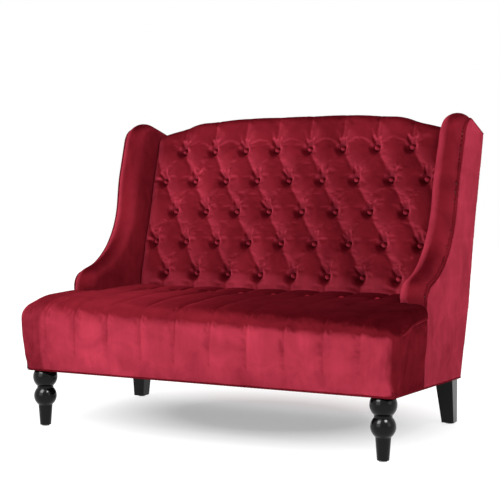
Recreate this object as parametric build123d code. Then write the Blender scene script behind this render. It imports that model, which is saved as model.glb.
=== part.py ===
from build123d import *
import os
from math import atan, cos, degrees, radians, sin, tan

os.makedirs("parts", exist_ok=True)

# High back settee, in millimetres. X runs along the seat, +Y to the rear, +Z up.
# The origin is on the floor, midway between the sides and midway from front to rear.
# "left" and "right" are as seen by someone who stands in front of the settee.

# ---------------------------------------------------------------- overall shape
overall_depth = 877.6      # swell of the seat front to the top of the outside back
base_width = 1240.0        # across the outside panels at the bottom seam
foot_setback = 177.0       # foot of the outside back, in front of the top rear corners
base_front_z = 188.0       # bottom seam at the front
base_drop = 36.0           # the bottom seam is this much lower at the rear
side_lean = 1.7            # the sides lean outwards, degrees
front_swell = 21.3         # the seat front stands this far past its bottom seam
crest_z = 1030.0           # middle of the camel back
rear_corner_z = 953.0      # top rear corner of each wing
rear_overhang = 6.3        # top of the outside back past those corners

# ---------------------------------------------------------------- seat
rail_top_z = 308.0         # top of the seat frame
seat_top_z = 424.0         # crown of the seat where it meets the wings
seat_pad = 32.0            # quilted cover over the foam, at its crown
tee_depth = 274.5          # full-width front part of the seat, in front of the wings
seat_crown = 14.0          # fall of the crown from the wings to the front edge
seat_front_radius = 55.0   # rounded front edge of the cover
seat_edge_radius = 25.0    # front top edge of the foam
channel_pitch = 120.0      # sewn channels across the seat
channel_count = 8          # channels that run back to a button
outer_channel_inset = 90.0  # last channel from the side seam, on the full-width part only
channel_width = 2.0        # sewn line
seat_button_setback = 168.5  # row of seat buttons, in front of the button plane's foot
seat_dimple = 22.0         # depth of the seat at a button
seat_rise = 4.0            # crown at the row of buttons, over its height at the wings
seam_depth = 6.0           # sewn channels over the rounded front edge
deep_seam = 12.0           # sewn channels either side of the row of buttons
seat_side_fall = 8.0       # the cover falls this much to its side edges
seat_overhang = 3.0        # side edges of the front part, past the outside panels
quilt_depth = 40.0         # sheet of the seat, from its crown
boxing_bow = 10.0          # swell of the side faces of the seat
insulator_thickness = 3.0  # felt between the springs and the foam

# ---------------------------------------------------------------- back
back_rake = 18.0           # degrees from upright
back_setback = 261.5       # button plane at the lowest row, from the top rear corners
first_row_z = 470.0
row_rise = 114.6           # from one row of buttons to the next, along the back
row_count = 5
end_button_gap = 45.4      # last button of a long row from the wing
short_row = 8              # buttons in the odd rows, and one more in the even ones
dimple_floor = 20.0        # flat at the bottom of a dimple
tuft_rise = 34.0           # crown of a tuft over the button plane
fold_rise = 14.0           # a fold, halfway between two buttons
cover_depth = 14.0         # quilted cover behind the button plane
back_foam_depth = 30.0
back_board_thickness = 6.0
crest_flat_x = 200.0       # half width of the flat top of the crest
shoulder_top_x = 395.0     # the crest falls to the shoulder from here
shoulder_foot_x = 455.0    # to here
shoulder_fall = 23.0       # drop of the shoulder
crest_fall = 14.5          # drop of the crest before the shoulder
crest_bow = 2.5            # drop of the crest at the end of its flat top
side_fall = 70.0           # drop from the shoulder to outside the wings
crest_radius = 1200.0
shoulder_radius = 200.0
side_fall_radius = 300.0
crest_pad = 15.0           # padding over the top rail
crest_rounding = 28.0
back_rear_depth = 89.4     # rear face of the crest, behind the button plane
back_skirt = 62.0          # cover below the lowest row of buttons
top_rail_drop = 12.0       # top rail starts this far above the highest row
edge_rise = 6.0            # back beside the wings, over the button plane
pleat_start = 40.0         # the tufts end this far above the highest row
pleat_end = 200.0          # the upright pleats end past the crest

# ---------------------------------------------------------------- wings
outside_thickness = 5.0    # fabric on board
wing_board = 25.0
wing_foam_depth = 36.0
wing_cover_depth = 18.0
roll_rise = 20.0           # front border of the wing, past the seam
welt_diameter = 5.2
arm_z = 468.0              # front tip of the arm, before rounding
nose_radius = 46.0
elbow_reach = 253.0        # arm tip to the elbow of the curve
elbow_rise = 68.0
elbow_radius = 300.0
neck_back = 47.0           # neck of the wing behind the elbow
neck_z = 803.0
neck_radius = 420.0
peak_back = 68.0           # peak of the wing behind the neck
peak_z = 1006.0
peak_radius = 68.0
knee_z = 370.0             # rear line: bows out here
knee_bow = 16.0
waist_z = 640.0            # and draws in here
waist_draw = 4.0
rear_line_radius = 500.0
roll_step = 1.0            # outside panel past the padded border
rear_panel_drop = 1.0      # outside back below the top rear corners

# ---------------------------------------------------------------- wooden frame
rail_thickness = 25.0
corner_post = 75.0
rear_rail_height = 100.0
deck_rail_height = 60.0
deck_rail_setback = 73.5   # rear rail of the spring deck, from the button plane's foot
stretcher_height = 40.0
top_rail_thickness = 38.0
slat_width = 40.0
lower_rail_height = 60.0

# ---------------------------------------------------------------- springs
spring_count = 9
spring_wire = 4.0
spring_half_width = 24.0
spring_bend = 14.0
spring_step = 34.0
clip_height = 6.0
clip_width = 14.0
clip_length = 20.0

# ---------------------------------------------------------------- legs and hardware
front_leg_inset_x = 43.0   # leg axis from the side seam
front_leg_inset_y = 36.0   # leg axis from the front seam
upper_ball = 78.5
upper_ball_z = 160.0
lower_ball = 73.0
lower_ball_z = 98.0
leg_neck = 52.0
leg_neck_z = 127.0
taper_top = 45.0
taper_top_z = 68.0
taper_foot = 35.5
foot_flare = 2.0           # flare of the tapered foot under the lower ball
leg_collar = 44.0
rear_leg_top = 59.0
rear_leg_foot = 40.0
rear_leg_inset = 10.0      # outer face from the side seam
rear_leg_setback = 5.0     # rear face from the foot of the outside back
glide_height = 4.0
glide_diameter = 24.0
glide_pin_radius = 1.5
glide_pin_length = 14.0
bolt_diameter = 8.0
insert_diameter = 12.0
insert_length = 22.0
bolt_in_leg = 30.0
wing_bolt_head = 18.0
wing_bolt_head_depth = 4.0
wing_bolt_length = 60.0

# ---------------------------------------------------------------- buttons and small goods
button_diameter = 19.0
button_dome = 7.0
button_lift = 7.0          # cap of a button over the floor of its dimple
button_rim = 1.5           # straight rim of the cap
shank_diameter = 7.0
twine_diameter = 2.0
twine_hole = 3.0
knot_diameter = 9.0
knot_height = 2.0
base_welt_diameter = 5.0
dust_cover_thickness = 1.0
dust_cover_inset = 14.0
clearance = 0.3            # between soft pieces and their neighbours

# ---------------------------------------------------------------- worked out from these
front_y = -overall_depth / 2 + front_swell
rear_corner_y = overall_depth / 2 - rear_overhang
foot_y = rear_corner_y - foot_setback
base_depth = foot_y - front_y
back_foot_y = rear_corner_y - back_setback
seat_button_y = back_foot_y - seat_button_setback
deck_rail_y = back_foot_y - deck_rail_setback
half_base = base_width / 2
outer_channel_x = half_base - outer_channel_inset
base_slope = degrees(atan(base_drop / base_depth))
frame_front_y = front_y + cover_depth
wing_front_y = front_y + tee_depth + clearance
wing_thickness = outside_thickness + wing_board + wing_foam_depth + wing_cover_depth
post_side = outside_thickness + wing_board
frame_inset = outside_thickness + 2 * clearance
inner_top_z = seat_top_z - seat_pad
deck_top_z = rail_top_z + clip_height + insulator_thickness
lean_slope = tan(radians(side_lean))
reach = 3000.0             # larger than the settee, for cutting blocks

back_plane = Plane(origin=(0, back_foot_y, first_row_z), x_dir=(1, 0, 0),
                   z_dir=(0, -cos(radians(back_rake)), sin(radians(back_rake))))
base_plane = Plane(origin=(0, front_y, base_front_z), x_dir=(1, 0, 0),
                   z_dir=(0, sin(radians(base_slope)), cos(radians(base_slope))))
wing_pivot = Location((half_base, 0, base_front_z - base_drop), (0, side_lean, 0))
board_back = cover_depth + back_foam_depth + back_board_thickness


def side_x(z, depth=0.0):
    """X of a plane that lies `depth` inside the right outside face, at height z."""
    outside = half_base + (z - base_front_z + base_drop) * lean_slope
    return outside - depth / cos(radians(side_lean))


# the long rows have one button more than the short ones
button_pitch = 2 * (side_x(first_row_z, wing_thickness) - end_button_gap) / short_row


def save(shape, name):
    """Writes one sub-part."""
    shape.label = name
    export_step(shape, os.path.join("parts", name + ".step"))


def save_pair(shape, name):
    """Writes a right-hand sub-part and its mirror image."""
    save(shape, name + "_right")
    save(shape.mirror(Plane.YZ), name + "_left")


def block(x0, x1, y0, y1, z0, z1):
    """A box given by its faces."""
    return Pos((x0 + x1) / 2, (y0 + y1) / 2, (z0 + z1) / 2) * Box(x1 - x0, y1 - y0, z1 - z0)


def below_base():
    """Everything under the sloping bottom of the frame."""
    return base_plane.location * block(-reach, reach, -reach, reach, -reach, 0)


def behind_back(depth):
    """Everything behind the plane that lies `depth` behind the button plane."""
    return back_plane.location * block(-reach, reach, -reach, reach, -reach, -depth)


def between_sides(depth):
    """The wedge between two leaning planes, `depth` inside the outside faces."""
    low, high = -200.0, 1600.0
    outline = Polyline((-side_x(low, depth), low), (side_x(low, depth), low),
                       (side_x(high, depth), high), (-side_x(high, depth), high), close=True)
    wedge = extrude(make_face(Plane.XZ * outline), amount=reach, both=True)
    return wedge


def lean(shape):
    """Takes a piece of the right side from its upright drawing to its lean."""
    return wing_pivot * shape


def upright(z):
    """Height in the upright drawing of the side, whose zero is the rear bottom seam."""
    return z - (base_front_z - base_drop)


# ---------------------------------------------------------------- outlines of the side
def rear_line_y(z):
    """Straight line from the foot of the outside back to the top rear corner."""
    share = (z - base_front_z + base_drop) / (rear_corner_z - base_front_z + base_drop)
    return foot_y + share * (rear_corner_y - foot_y)


def wing_points():
    """Corners of the wing's front edge, from the seat up and over to the rear corner."""
    nose = (wing_front_y, upright(arm_z))
    elbow = (wing_front_y + elbow_reach, upright(arm_z + elbow_rise))
    neck = (elbow[0] + neck_back, upright(neck_z))
    peak = (neck[0] + peak_back, upright(peak_z))
    corner = (rear_corner_y, upright(rear_corner_z))
    start = (wing_front_y, upright(arm_z - 2 * nose_radius))
    return [start, nose, elbow, neck, peak, corner]


def wing_edge():
    radii = [nose_radius, elbow_radius, neck_radius, peak_radius]
    return FilletPolyline(*wing_points(), radius=radii)


def rear_edge(inset, top_z):
    """Rear line of the side from top_z down to the foot, `inset` in front of the outside."""
    waist_y = rear_line_y(waist_z) - waist_draw
    slope = (rear_corner_y - waist_y) / (rear_corner_z - waist_z)
    points = [(rear_corner_y + (top_z - rear_corner_z) * slope, top_z),
              (waist_y, waist_z),
              (rear_line_y(knee_z) + knee_bow, knee_z),
              (foot_y, base_front_z - base_drop)]
    moved = [(y - inset, z) for y, z in points]
    return FilletPolyline(*moved, radius=[rear_line_radius, rear_line_radius])


def before_rear(inset):
    """Everything in front of the rear line of the side."""
    edge = rear_edge(inset, crest_z + crest_pad)
    top, foot = edge @ 0, edge @ 1
    sides = Polyline((foot.X, foot.Y), (foot.X, -crest_z), (-reach, -crest_z),
                     (-reach, top.Y), (top.X, top.Y))
    region = make_face(Wire(list(edge.edges()) + list(sides.edges())))
    return extrude(Plane.YZ * region, amount=reach, both=True)


def side_face():
    """Whole side of the settee behind the full-width part of the seat."""
    front = wing_edge()
    start, corner = wing_points()[0], wing_points()[-1]
    low = upright(-base_drop)
    frame = Polyline(corner, (corner[0], low), (wing_front_y, low), start)
    return make_face(Wire(list(front.edges()) + list(frame.edges())))


def side_slab(depth0, depth1, inset=0.0):
    """Slice of the side between two depths from its outside face, at its lean."""
    slab = extrude(Plane.YZ * side_face(), amount=-(depth1 - depth0))
    return lean(Pos(-depth0, 0, 0) * slab) & before_rear(inset)


# ---------------------------------------------------------------- quilted sections
def quilt_wire(nodes, rear, place):
    """Closed section. Each node is (x, height, rise of the arc to the next node)."""
    edges = []
    for (xa, na, rise), (xb, nb, _) in zip(nodes, nodes[1:]):
        start, end = place(xa, na), place(xb, nb)
        middle = place((xa + xb) / 2, (na + nb) / 2 + rise)
        edges.append(ThreePointArc(start, middle, end) if rise else Line(start, end))
    (x0, n0, _), (x1, n1, _) = nodes[0], nodes[-1]
    corners = [place(x1, n1), place(x1, rear), place(x0, rear), place(x0, n0)]
    edges += [Line(a, b) for a, b in zip(corners, corners[1:])]
    return Wire(edges)


def mirrored(half):
    """Nodes of a symmetric section from those of its right half, middle first."""
    left = [(-x, n, 0.0) for x, n, _ in reversed(half)]
    rises = [rise for _, _, rise in half[:-1]]
    middle_rise = half[1][2]
    spans = list(reversed(rises)) + [middle_rise] + rises
    points = left + [(x, n, 0.0) for x, n, _ in half]
    return [(x, n, rise) for (x, n, _), rise in zip(points, spans + [0.0])]


def seat_nodes(half_width, end_drop, seam, depth, with_outer):
    """Right half of a section across the seat, as (x, height, rise)."""
    lines = [channel_pitch * (i + 0.5) for i in range(channel_count // 2)]
    if with_outer:
        lines.append(min(outer_channel_x, half_width - seat_pad))
    half = []
    for x in lines:
        half.append((x - seam / 2, -depth, 0.0))
        half.append((x + seam / 2, -depth, depth))
    half.append((half_width, -end_drop, 0.0))
    return mirrored(half)


def seat_section(y, z, tilt, half_width, end_drop, seam, depth, with_outer=True):
    """Section of the seat cover at a point of its crown, square to the crown line."""
    across, up = -cos(radians(tilt)), sin(radians(tilt))
    nodes = seat_nodes(half_width, end_drop, seam, depth, with_outer)
    return quilt_wire(nodes, -quilt_depth, lambda x, n: Vector(x, y + n * across, z + n * up))


def seat_core():
    """Space inside the seat cover, for the foam and the frame."""
    core = block(-reach, reach, frame_front_y, reach, -reach, inner_top_z)
    edge = core.edges().filter_by(Axis.X).sort_by(lambda e: e.center().Z - e.center().Y)[-1]
    return fillet(edge, seat_edge_radius)


def seat_front_loft():
    """Front face of the seat, its rounded edge and the top as far as the wings."""
    half = side_x(seat_top_z) + seat_overhang
    swell_y = front_y - front_swell
    edge_y = swell_y + seat_front_radius
    edge_z = seat_top_z - seat_crown - seat_front_radius
    middle_z = (base_front_z + edge_z) / 2
    low_z = (base_front_z + middle_z) / 2
    sections = [
        seat_section(front_y - 2, base_front_z, 0, half_base, 2, channel_width, seam_depth / 3),
        seat_section(swell_y + 6, low_z, 0, half, 5, channel_width, seam_depth * 2 / 3),
        seat_section(swell_y, middle_z, 0, half + 4, 7, channel_width, seam_depth - 1),
    ]
    for turn in (0, 20, 40, 60, 80):
        y = edge_y - seat_front_radius * cos(radians(turn))
        z = edge_z + seat_front_radius * sin(radians(turn))
        fall = seat_side_fall + turn / 20
        sections.append(seat_section(y, z, turn, half + 5 - turn / 20, fall, channel_width,
                                     seam_depth))
    rear_y = front_y + tee_depth
    for share in (0.2, 0.6, 1.0):
        y = edge_y + (rear_y - edge_y) * share
        z = seat_top_z - seat_crown * (1 - share) ** 2
        fall = seat_side_fall + 4 + 4 * share
        sections.append(seat_section(y, z, 84 + 6 * share, half, fall, channel_width + 4 * share,
                                     seam_depth + 2 * share))
    return Solid.make_loft(sections, ruled=True)


def seat_rear_loft():
    """Top of the seat between the wings, with the row of button dimples."""
    half = side_x(inner_top_z, wing_thickness) - clearance
    start_y = front_y + tee_depth
    end_y = back_foot_y
    lead_y = (start_y + seat_button_y) / 2
    trail_y = (end_y + seat_button_y) / 2
    low, high = channel_width + 4, dimple_floor
    fall = seat_side_fall
    sections = [
        seat_section(start_y, seat_top_z, 90, half, fall, low, seam_depth + 2, False),
        seat_section(lead_y, seat_top_z + seat_rise / 2, 90, half, fall, low + 2, deep_seam, False),
        seat_section(seat_button_y, seat_top_z + seat_rise, 90, half, fall, high, seat_dimple,
                     False),
        seat_section(trail_y, seat_top_z + seat_rise + 1, 90, half, fall, low, deep_seam, False),
        seat_section(end_y, seat_top_z + seat_rise + 2, 90, half, fall, low, deep_seam - 2, False),
    ]
    return Solid.make_loft(sections, ruled=True)


def seat_button_spots():
    return [((i - (channel_count - 1) / 2) * channel_pitch, seat_button_y)
            for i in range(channel_count)]


def seat_floor_z():
    return seat_top_z + seat_rise - seat_dimple


def seat_cover():
    cover = seat_front_loft() + seat_rear_loft() - seat_core()
    cover -= behind_back(-tuft_rise - clearance)
    for x, y in seat_button_spots():
        cover -= Pos(x, y, seat_floor_z()) * Cylinder(twine_hole / 2, reach)
    return cover


def seat_foam():
    """Tee-shaped slab over the springs."""
    wide = side_x(deck_top_z, outside_thickness + clearance)
    narrow = side_x(deck_top_z, wing_thickness + clearance)
    tee_y = front_y + tee_depth
    slab = block(-wide, wide, frame_front_y, tee_y, deck_top_z, inner_top_z)
    slab += block(-narrow, narrow, frame_front_y, back_foot_y, deck_top_z, inner_top_z)
    slab = (slab & seat_core()) - behind_back(-tuft_rise - clearance)
    for x, y in seat_button_spots():
        slab -= Pos(x, y, 0) * Cylinder(twine_hole / 2, reach)
    return slab


def seat_boxing():
    """Side face of the full-width part of the seat, right-hand."""
    bottom, top = 0.0, upright(inner_top_z)
    rear_y = front_y + tee_depth
    outline = [Line((-outside_thickness, bottom), (0, bottom)),
               ThreePointArc((0, bottom), (boxing_bow, top * 0.55), (boxing_bow / 2, top)),
               Line((boxing_bow / 2, top), (-outside_thickness, top)),
               Line((-outside_thickness, top), (-outside_thickness, bottom))]
    face = make_face(Plane.XZ * Wire(outline))
    pad = extrude(face, amount=-(rear_y - frame_front_y))
    pad = lean(Pos(0, frame_front_y, 0) * pad)
    return (pad & seat_core()) - below_base()


# ---------------------------------------------------------------- wooden frame
def base_member(x0, x1, y0, y1, z0=0.0, z1=rail_top_z):
    """A member of the seat frame, cut to the sloping bottom."""
    return block(x0, x1, y0, y1, z0, z1) - below_base()


def front_corner_post():
    post = block(-corner_post - outside_thickness, -outside_thickness, frame_front_y,
                 frame_front_y + corner_post, -base_drop, upright(rail_top_z))
    post = lean(post) - below_base()
    return post - leg_bolt_hole(*front_leg_axis(), insert_diameter + 2 * clearance)


def side_rail():
    """Lower member of the side, from the corner post to the rear."""
    rail = side_slab(outside_thickness, post_side, frame_inset)
    front = lean(block(-post_side, -outside_thickness, frame_front_y + corner_post,
                       wing_front_y + corner_post, -base_drop, upright(rail_top_z)))
    rail = rail + front
    keep = block(0, reach, frame_front_y + corner_post, reach, -reach, rail_top_z)
    return (rail & keep) - below_base()


def wing_frame():
    """Shaped board above the side rail."""
    board = side_slab(outside_thickness, post_side, frame_inset)
    board &= block(0, reach, -reach, reach, rail_top_z, reach)
    for spot in wing_bolt_spots():
        board -= wing_bolt_cut(spot, clearance)
    return board


def back_post():
    """Rear upright that carries the wing and the back."""
    post = side_slab(post_side, wing_thickness, frame_inset)
    post &= behind_back(board_back)
    post -= below_base()
    post -= leg_bolt_hole(*rear_leg_axis(), insert_diameter + 2 * clearance)
    for spot in wing_bolt_spots():
        post -= wing_bolt_cut(spot, clearance)
    return post


def wing_bolt_spots():
    """Points (y, z) of the bolts that join the shaped board to the upright."""
    spots = []
    for z in (waist_z - 2 * row_rise, waist_z, waist_z + 2 * row_rise):
        spots.append((rear_line_y(z) - corner_post / 2, z))
    return spots


def wing_bolt_cut(spot, gap):
    """Space taken by one of those bolts, from the outer face of the board inwards."""
    y, z = spot
    start = -outside_thickness
    turned = Location((start, y, upright(z)), (0, -90, 0))
    head = Cylinder(wing_bolt_head / 2 + gap, wing_bolt_head_depth,
                    align=(Align.CENTER, Align.CENTER, Align.MIN))
    shank = Cylinder(bolt_diameter / 2 + gap, wing_bolt_length - wing_bolt_head_depth + gap,
                     align=(Align.CENTER, Align.CENTER, Align.MIN))
    return lean(turned * (head + Pos(0, 0, wing_bolt_head_depth) * shank))


def camel_face(drop):
    """Front view of the back down to below the seat, its crest lowered by `drop`."""
    top = (crest_z - first_row_z) / cos(radians(back_rake)) - crest_bow - 1 - drop
    shoulder_top = top - crest_bow - crest_fall
    shoulder_foot = shoulder_top - shoulder_fall
    half = [(half_base * 1.2, shoulder_foot - side_fall), (shoulder_foot_x, shoulder_foot),
            (shoulder_top_x, shoulder_top), (crest_flat_x, top - crest_bow)]
    points = half + [(-x, v) for x, v in reversed(half)]
    radii = [side_fall_radius, shoulder_radius, crest_radius]
    crest = FilletPolyline(*points, radius=radii + radii[::-1])
    side, low = points[0][0], -crest_z
    sides = Polyline(points[-1], (-side, low), (side, low), points[0])
    return make_face(Wire(list(crest.edges()) + list(sides.edges())))


def camel_slab(front, rear, drop=0.0):
    """Slab with the outline of the back, from `front` to `rear` of the button plane."""
    slab = extrude(camel_face(drop), amount=rear + front)
    return back_plane.location * Pos(0, 0, -rear) * slab


def highest_row():
    return (row_count - 1) * row_rise


def back_top_rail():
    """Shaped rail under the crest."""
    low = highest_row() + top_rail_drop
    rail = camel_slab(-board_back, board_back + top_rail_thickness, crest_pad)
    rail &= back_plane.location * block(-reach, reach, low, reach, -reach, reach)
    return rail & between_sides(wing_thickness)


def back_lower_rail():
    rail = block(-reach, reach, -back_skirt - lower_rail_height, -back_skirt,
                 -board_back - rail_thickness, -board_back)
    return (back_plane.location * rail) & between_sides(wing_thickness)


def back_slats():
    """Four uprights between the two rails of the back."""
    low, high = -back_skirt, highest_row() + top_rail_drop
    slats = []
    for step in (-2.25, -0.75, 0.75, 2.25):
        x = step * button_pitch
        slats.append(back_plane.location * block(x - slat_width / 2, x + slat_width / 2, low, high,
                                                 -board_back - rail_thickness, -board_back))
    return Compound(slats)


def back_layer(front, rear):
    """Flat layer of the back with a twine hole behind each button."""
    layer = camel_slab(front, rear, crest_pad)
    layer &= back_plane.location * block(-reach, reach, -back_skirt, reach, -reach, reach)
    layer &= between_sides(wing_thickness + clearance)
    holes = [back_plane.location * Pos(x, v, 0) * Cylinder(twine_hole / 2, reach)
             for x, v in back_button_spots()]
    return layer - holes


def back_button_spots():
    """Places of the buttons on the button plane, the lowest row first."""
    spots = []
    for row in range(row_count):
        count = short_row + row % 2
        spots += [((i - (count - 1) / 2) * button_pitch, row * row_rise) for i in range(count)]
    return spots


# ---------------------------------------------------------------- tufted back
def tuft_nodes(half_width, share, floor, fold, rise):
    """Section across the back. `share` is 0 at a short row of buttons and 1 at a long one."""
    width = floor + (button_pitch - 2 * floor) * share
    end_rise = rise * 0.7 * (1 - share)
    nodes = [(-half_width, edge_rise, end_rise)]
    for i in range(short_row):
        x = (i - (short_row - 1) / 2) * button_pitch
        nodes.append((x - width / 2, fold, rise * share))
        nodes.append((x + width / 2, fold, rise * (1 - share)))
    nodes[-1] = nodes[-1][:2] + (end_rise,)
    nodes.append((half_width, edge_rise, 0.0))
    return nodes


def tuft_section(v, share, floor=dimple_floor, fold=0.0, rise=tuft_rise):
    half = side_x(crest_z)
    nodes = tuft_nodes(half, share, floor, fold, rise)
    return quilt_wire(nodes, -back_rear_depth, lambda x, n: Vector(x, v, n))


def tufted_block():
    """Padded block with diamond tufts between the rows and upright pleats above and below."""
    pleat = dimple_floor / 3
    sections = [tuft_section(-back_skirt, 0.0, pleat, fold_rise / 2, tuft_rise / 2)]
    for row in range(row_count):
        sections.append(tuft_section(row * row_rise, row % 2))
        if row < row_count - 1:
            sections.append(tuft_section((row + 0.5) * row_rise, 0.5, fold=fold_rise,
                                         rise=tuft_rise))
    for height, fullness in ((pleat_start, 0.5), (pleat_end, 0.4)):
        sections.append(tuft_section(highest_row() + height, 0.0, pleat, fold_rise,
                                     tuft_rise * fullness))
    return back_plane.location * Solid.make_loft(sections, ruled=True)


def back_envelope():
    """Outline of the back with a rounded crest."""
    slab = extrude(camel_face(0.0), amount=back_rear_depth + tuft_rise)
    crest = slab.faces().sort_by(Axis.Z)[-1].edges().filter_by(
        lambda e: e.center().Y > highest_row())
    slab = fillet(crest, crest_rounding)
    return back_plane.location * Pos(0, 0, -back_rear_depth) * slab


def back_cover():
    core = camel_slab(-cover_depth, reach, crest_pad)
    cover = (tufted_block() & back_envelope()) - core
    cover &= between_sides(wing_thickness + clearance)
    shank = Cylinder(shank_diameter / 2 + clearance, button_lift,
                     align=(Align.CENTER, Align.CENTER, Align.MIN))
    pull = shank + Cylinder(twine_hole / 2, 2 * quilt_depth)
    return cover - [back_plane.location * Pos(x, v, 0) * pull for x, v in back_button_spots()]


# ---------------------------------------------------------------- buttons
def button():
    """Covered button, its shank on the floor of the dimple at z = 0."""
    radius, shank, rim = button_diameter / 2, shank_diameter / 2, button_rim
    top = button_lift + button_dome
    sag = radius ** 2 + (button_dome - rim) ** 2
    curve = sag / (2 * (button_dome - rim))
    middle = radius * 0.6
    middle_z = top - curve + (curve ** 2 - middle ** 2) ** 0.5
    outline = [Line((0, 0), (shank, 0)), Line((shank, 0), (shank, button_lift)),
               Line((shank, button_lift), (radius, button_lift)),
               Line((radius, button_lift), (radius, button_lift + rim)),
               ThreePointArc((radius, button_lift + rim), (middle, middle_z), (0, top)),
               Line((0, top), (0, 0))]
    return revolve(make_face(Plane.XZ * Wire(outline)), Axis.Z)


def twine(length):
    """Twine from the button at z = 0 down to a knot at its far end."""
    cord, knot, end = twine_diameter / 2, knot_diameter / 2, -length - knot_height
    outline = Polyline((0, 0), (cord, 0), (cord, -length), (knot, -length), (knot, end),
                       (0, end), close=True)
    return revolve(make_face(Plane.XZ * outline), Axis.Z)


def back_buttons():
    return Compound([back_plane.location * Pos(x, v, 0) * button() for x, v in back_button_spots()])


def back_button_twine():
    return Compound([back_plane.location * Pos(x, v, 0) * twine(board_back)
                     for x, v in back_button_spots()])


def seat_buttons():
    return Compound([Pos(x, y, seat_floor_z()) * button() for x, y in seat_button_spots()])


def seat_button_twine():
    length = seat_floor_z() - deck_top_z + insulator_thickness
    return Compound([Pos(x, y, seat_floor_z()) * twine(length) for x, y in seat_button_spots()])


# ---------------------------------------------------------------- wings
def wing_foam():
    foam = side_slab(post_side, post_side + wing_foam_depth, frame_inset)
    foam &= block(0, reach, -reach, reach, rail_top_z, reach)
    return foam - behind_back(board_back)


def wing_inner_cover():
    cover = side_slab(post_side + wing_foam_depth, wing_thickness, frame_inset)
    cover &= block(0, reach, -reach, reach, rail_top_z, reach)
    return cover - behind_back(board_back)


def outside_wing_panel():
    return side_slab(0, outside_thickness) - below_base()


def edge_sweep(section):
    """Sweeps a section, drawn as (depth from the outside, height over the seam)."""
    path = Plane.YZ * wing_edge()
    start = Plane(origin=path @ 0, x_dir=(-1, 0, 0), z_dir=path % 0)
    return lean(sweep(start * section, path=path))


def above_seat(shape):
    """The part of a wing border that shows above the seat."""
    return shape & block(0, reach, -reach, reach, seat_top_z + 2, reach)


def wing_roll():
    """Padded front border of the wing, round the tip of the arm and over the top."""
    start = outside_thickness + roll_step
    crown = ((start + wing_thickness) / 2, roll_rise)
    face = make_face(Wire([Line((start, 0), (wing_thickness, 0)),
                           ThreePointArc((wing_thickness, 0), crown, (start, 0))]))
    return above_seat(edge_sweep(face))


def wing_welt():
    radius = welt_diameter / 2
    section = Pos(radius + clearance, radius + clearance) * Circle(radius)
    return above_seat(edge_sweep(section))


def outside_back_panel():
    """Fabric on board that closes the rear, tucked under the crest and between the sides."""
    band = before_rear(0.0) - before_rear(outside_thickness)
    band = (band & between_sides(outside_thickness + clearance)) - below_base()
    beside = band - between_sides(wing_thickness)
    beside -= block(-reach, reach, 0, reach, rear_corner_z - rear_panel_drop, reach)
    middle = band & between_sides(wing_thickness)
    return beside + (middle & camel_slab(reach, reach, crest_pad + clearance))


# ---------------------------------------------------------------- springs
def spring_spots():
    span = side_x(rail_top_z, wing_thickness) - spring_half_width - clip_width
    return [span * (2 * i / (spring_count - 1) - 1) for i in range(spring_count)]


def spring():
    """Zigzag wire from the front rail to the deck rail."""
    start = frame_front_y + rail_thickness / 2
    end = deck_rail_y + rail_thickness / 2
    straight = clip_length
    steps = int((end - start - 3 * straight) // spring_step)
    first = (start + end - (steps - 1) * spring_step) / 2
    points = [(0, start), (0, start + straight)]
    for i in range(steps):
        side = spring_half_width * (-1) ** i
        points += [(-side, first + i * spring_step), (side, first + i * spring_step)]
    points += [(0, end - straight), (0, end)]
    path = FilletPolyline(*points, radius=spring_bend)
    section = Plane(origin=path @ 0, z_dir=path % 0) * Circle(spring_wire / 2)
    return Pos(0, 0, rail_top_z + clip_height / 2) * sweep(section, path=path)


def seat_springs():
    wire = spring()
    return Compound([Pos(x, 0, 0) * wire for x in spring_spots()])


def spring_clips():
    """Clips that hold both ends of each spring on the rails."""
    shell = Box(clip_width, clip_length, clip_height)
    bore = Rot(90, 0, 0) * Cylinder(spring_wire / 2 + clearance / 2, clip_length)
    clip = Pos(0, 0, rail_top_z + clip_height / 2) * (shell - bore)
    rows = [frame_front_y + rail_thickness / 2, deck_rail_y + rail_thickness / 2]
    return Compound([Pos(x, y, 0) * clip for x in spring_spots() for y in rows])


def spring_insulator():
    """Felt between the springs and the foam."""
    wide = side_x(deck_top_z, outside_thickness + clearance)
    narrow = side_x(deck_top_z, wing_thickness + clearance)
    tee_y = front_y + tee_depth
    felt = block(-wide, wide, frame_front_y, tee_y, rail_top_z + clip_height, deck_top_z)
    felt += block(-narrow, narrow, frame_front_y, back_foot_y, rail_top_z + clip_height,
                  deck_top_z)
    felt -= behind_back(-tuft_rise - clearance)
    for x, y in seat_button_spots():
        felt -= Pos(x, y, 0) * Cylinder(twine_hole / 2, reach)
    return felt


# ---------------------------------------------------------------- bottom seam
def base_welt():
    """Cord along the bottom seam of the front and both sides."""
    radius = base_welt_diameter / 2
    half = half_base - radius
    front = radius
    rear = base_depth / cos(radians(base_slope))
    path = FilletPolyline((-half, rear), (-half, front), (half, front), (half, rear),
                          radius=4 * radius)
    section = Plane(origin=path @ 0, z_dir=path % 0) * Circle(radius)
    cord = Pos(0, 0, -radius - clearance / 2) * sweep(section, path=path)
    return base_plane.location * cord


def dust_cover():
    """Thin cloth under the frame, cut out round the legs."""
    half = half_base - dust_cover_inset
    rear = base_depth - dust_cover_inset
    cloth = block(-half, half, dust_cover_inset, rear, -dust_cover_thickness, 0)
    cloth = base_plane.location * cloth
    notch = upper_ball / 2 + dust_cover_inset
    for x, y in (front_leg_axis(), rear_leg_axis()):
        cloth -= block(x - notch, x + notch, y - notch, y + notch, 0, rail_top_z)
        cloth -= block(-x - notch, -x + notch, y - notch, y + notch, 0, rail_top_z)
    return cloth


# ---------------------------------------------------------------- legs
def front_leg_axis():
    return half_base - front_leg_inset_x, front_y + front_leg_inset_y


def rear_leg_axis():
    half = rear_leg_top / 2
    return half_base - rear_leg_inset - half, foot_y - rear_leg_setback - half


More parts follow.
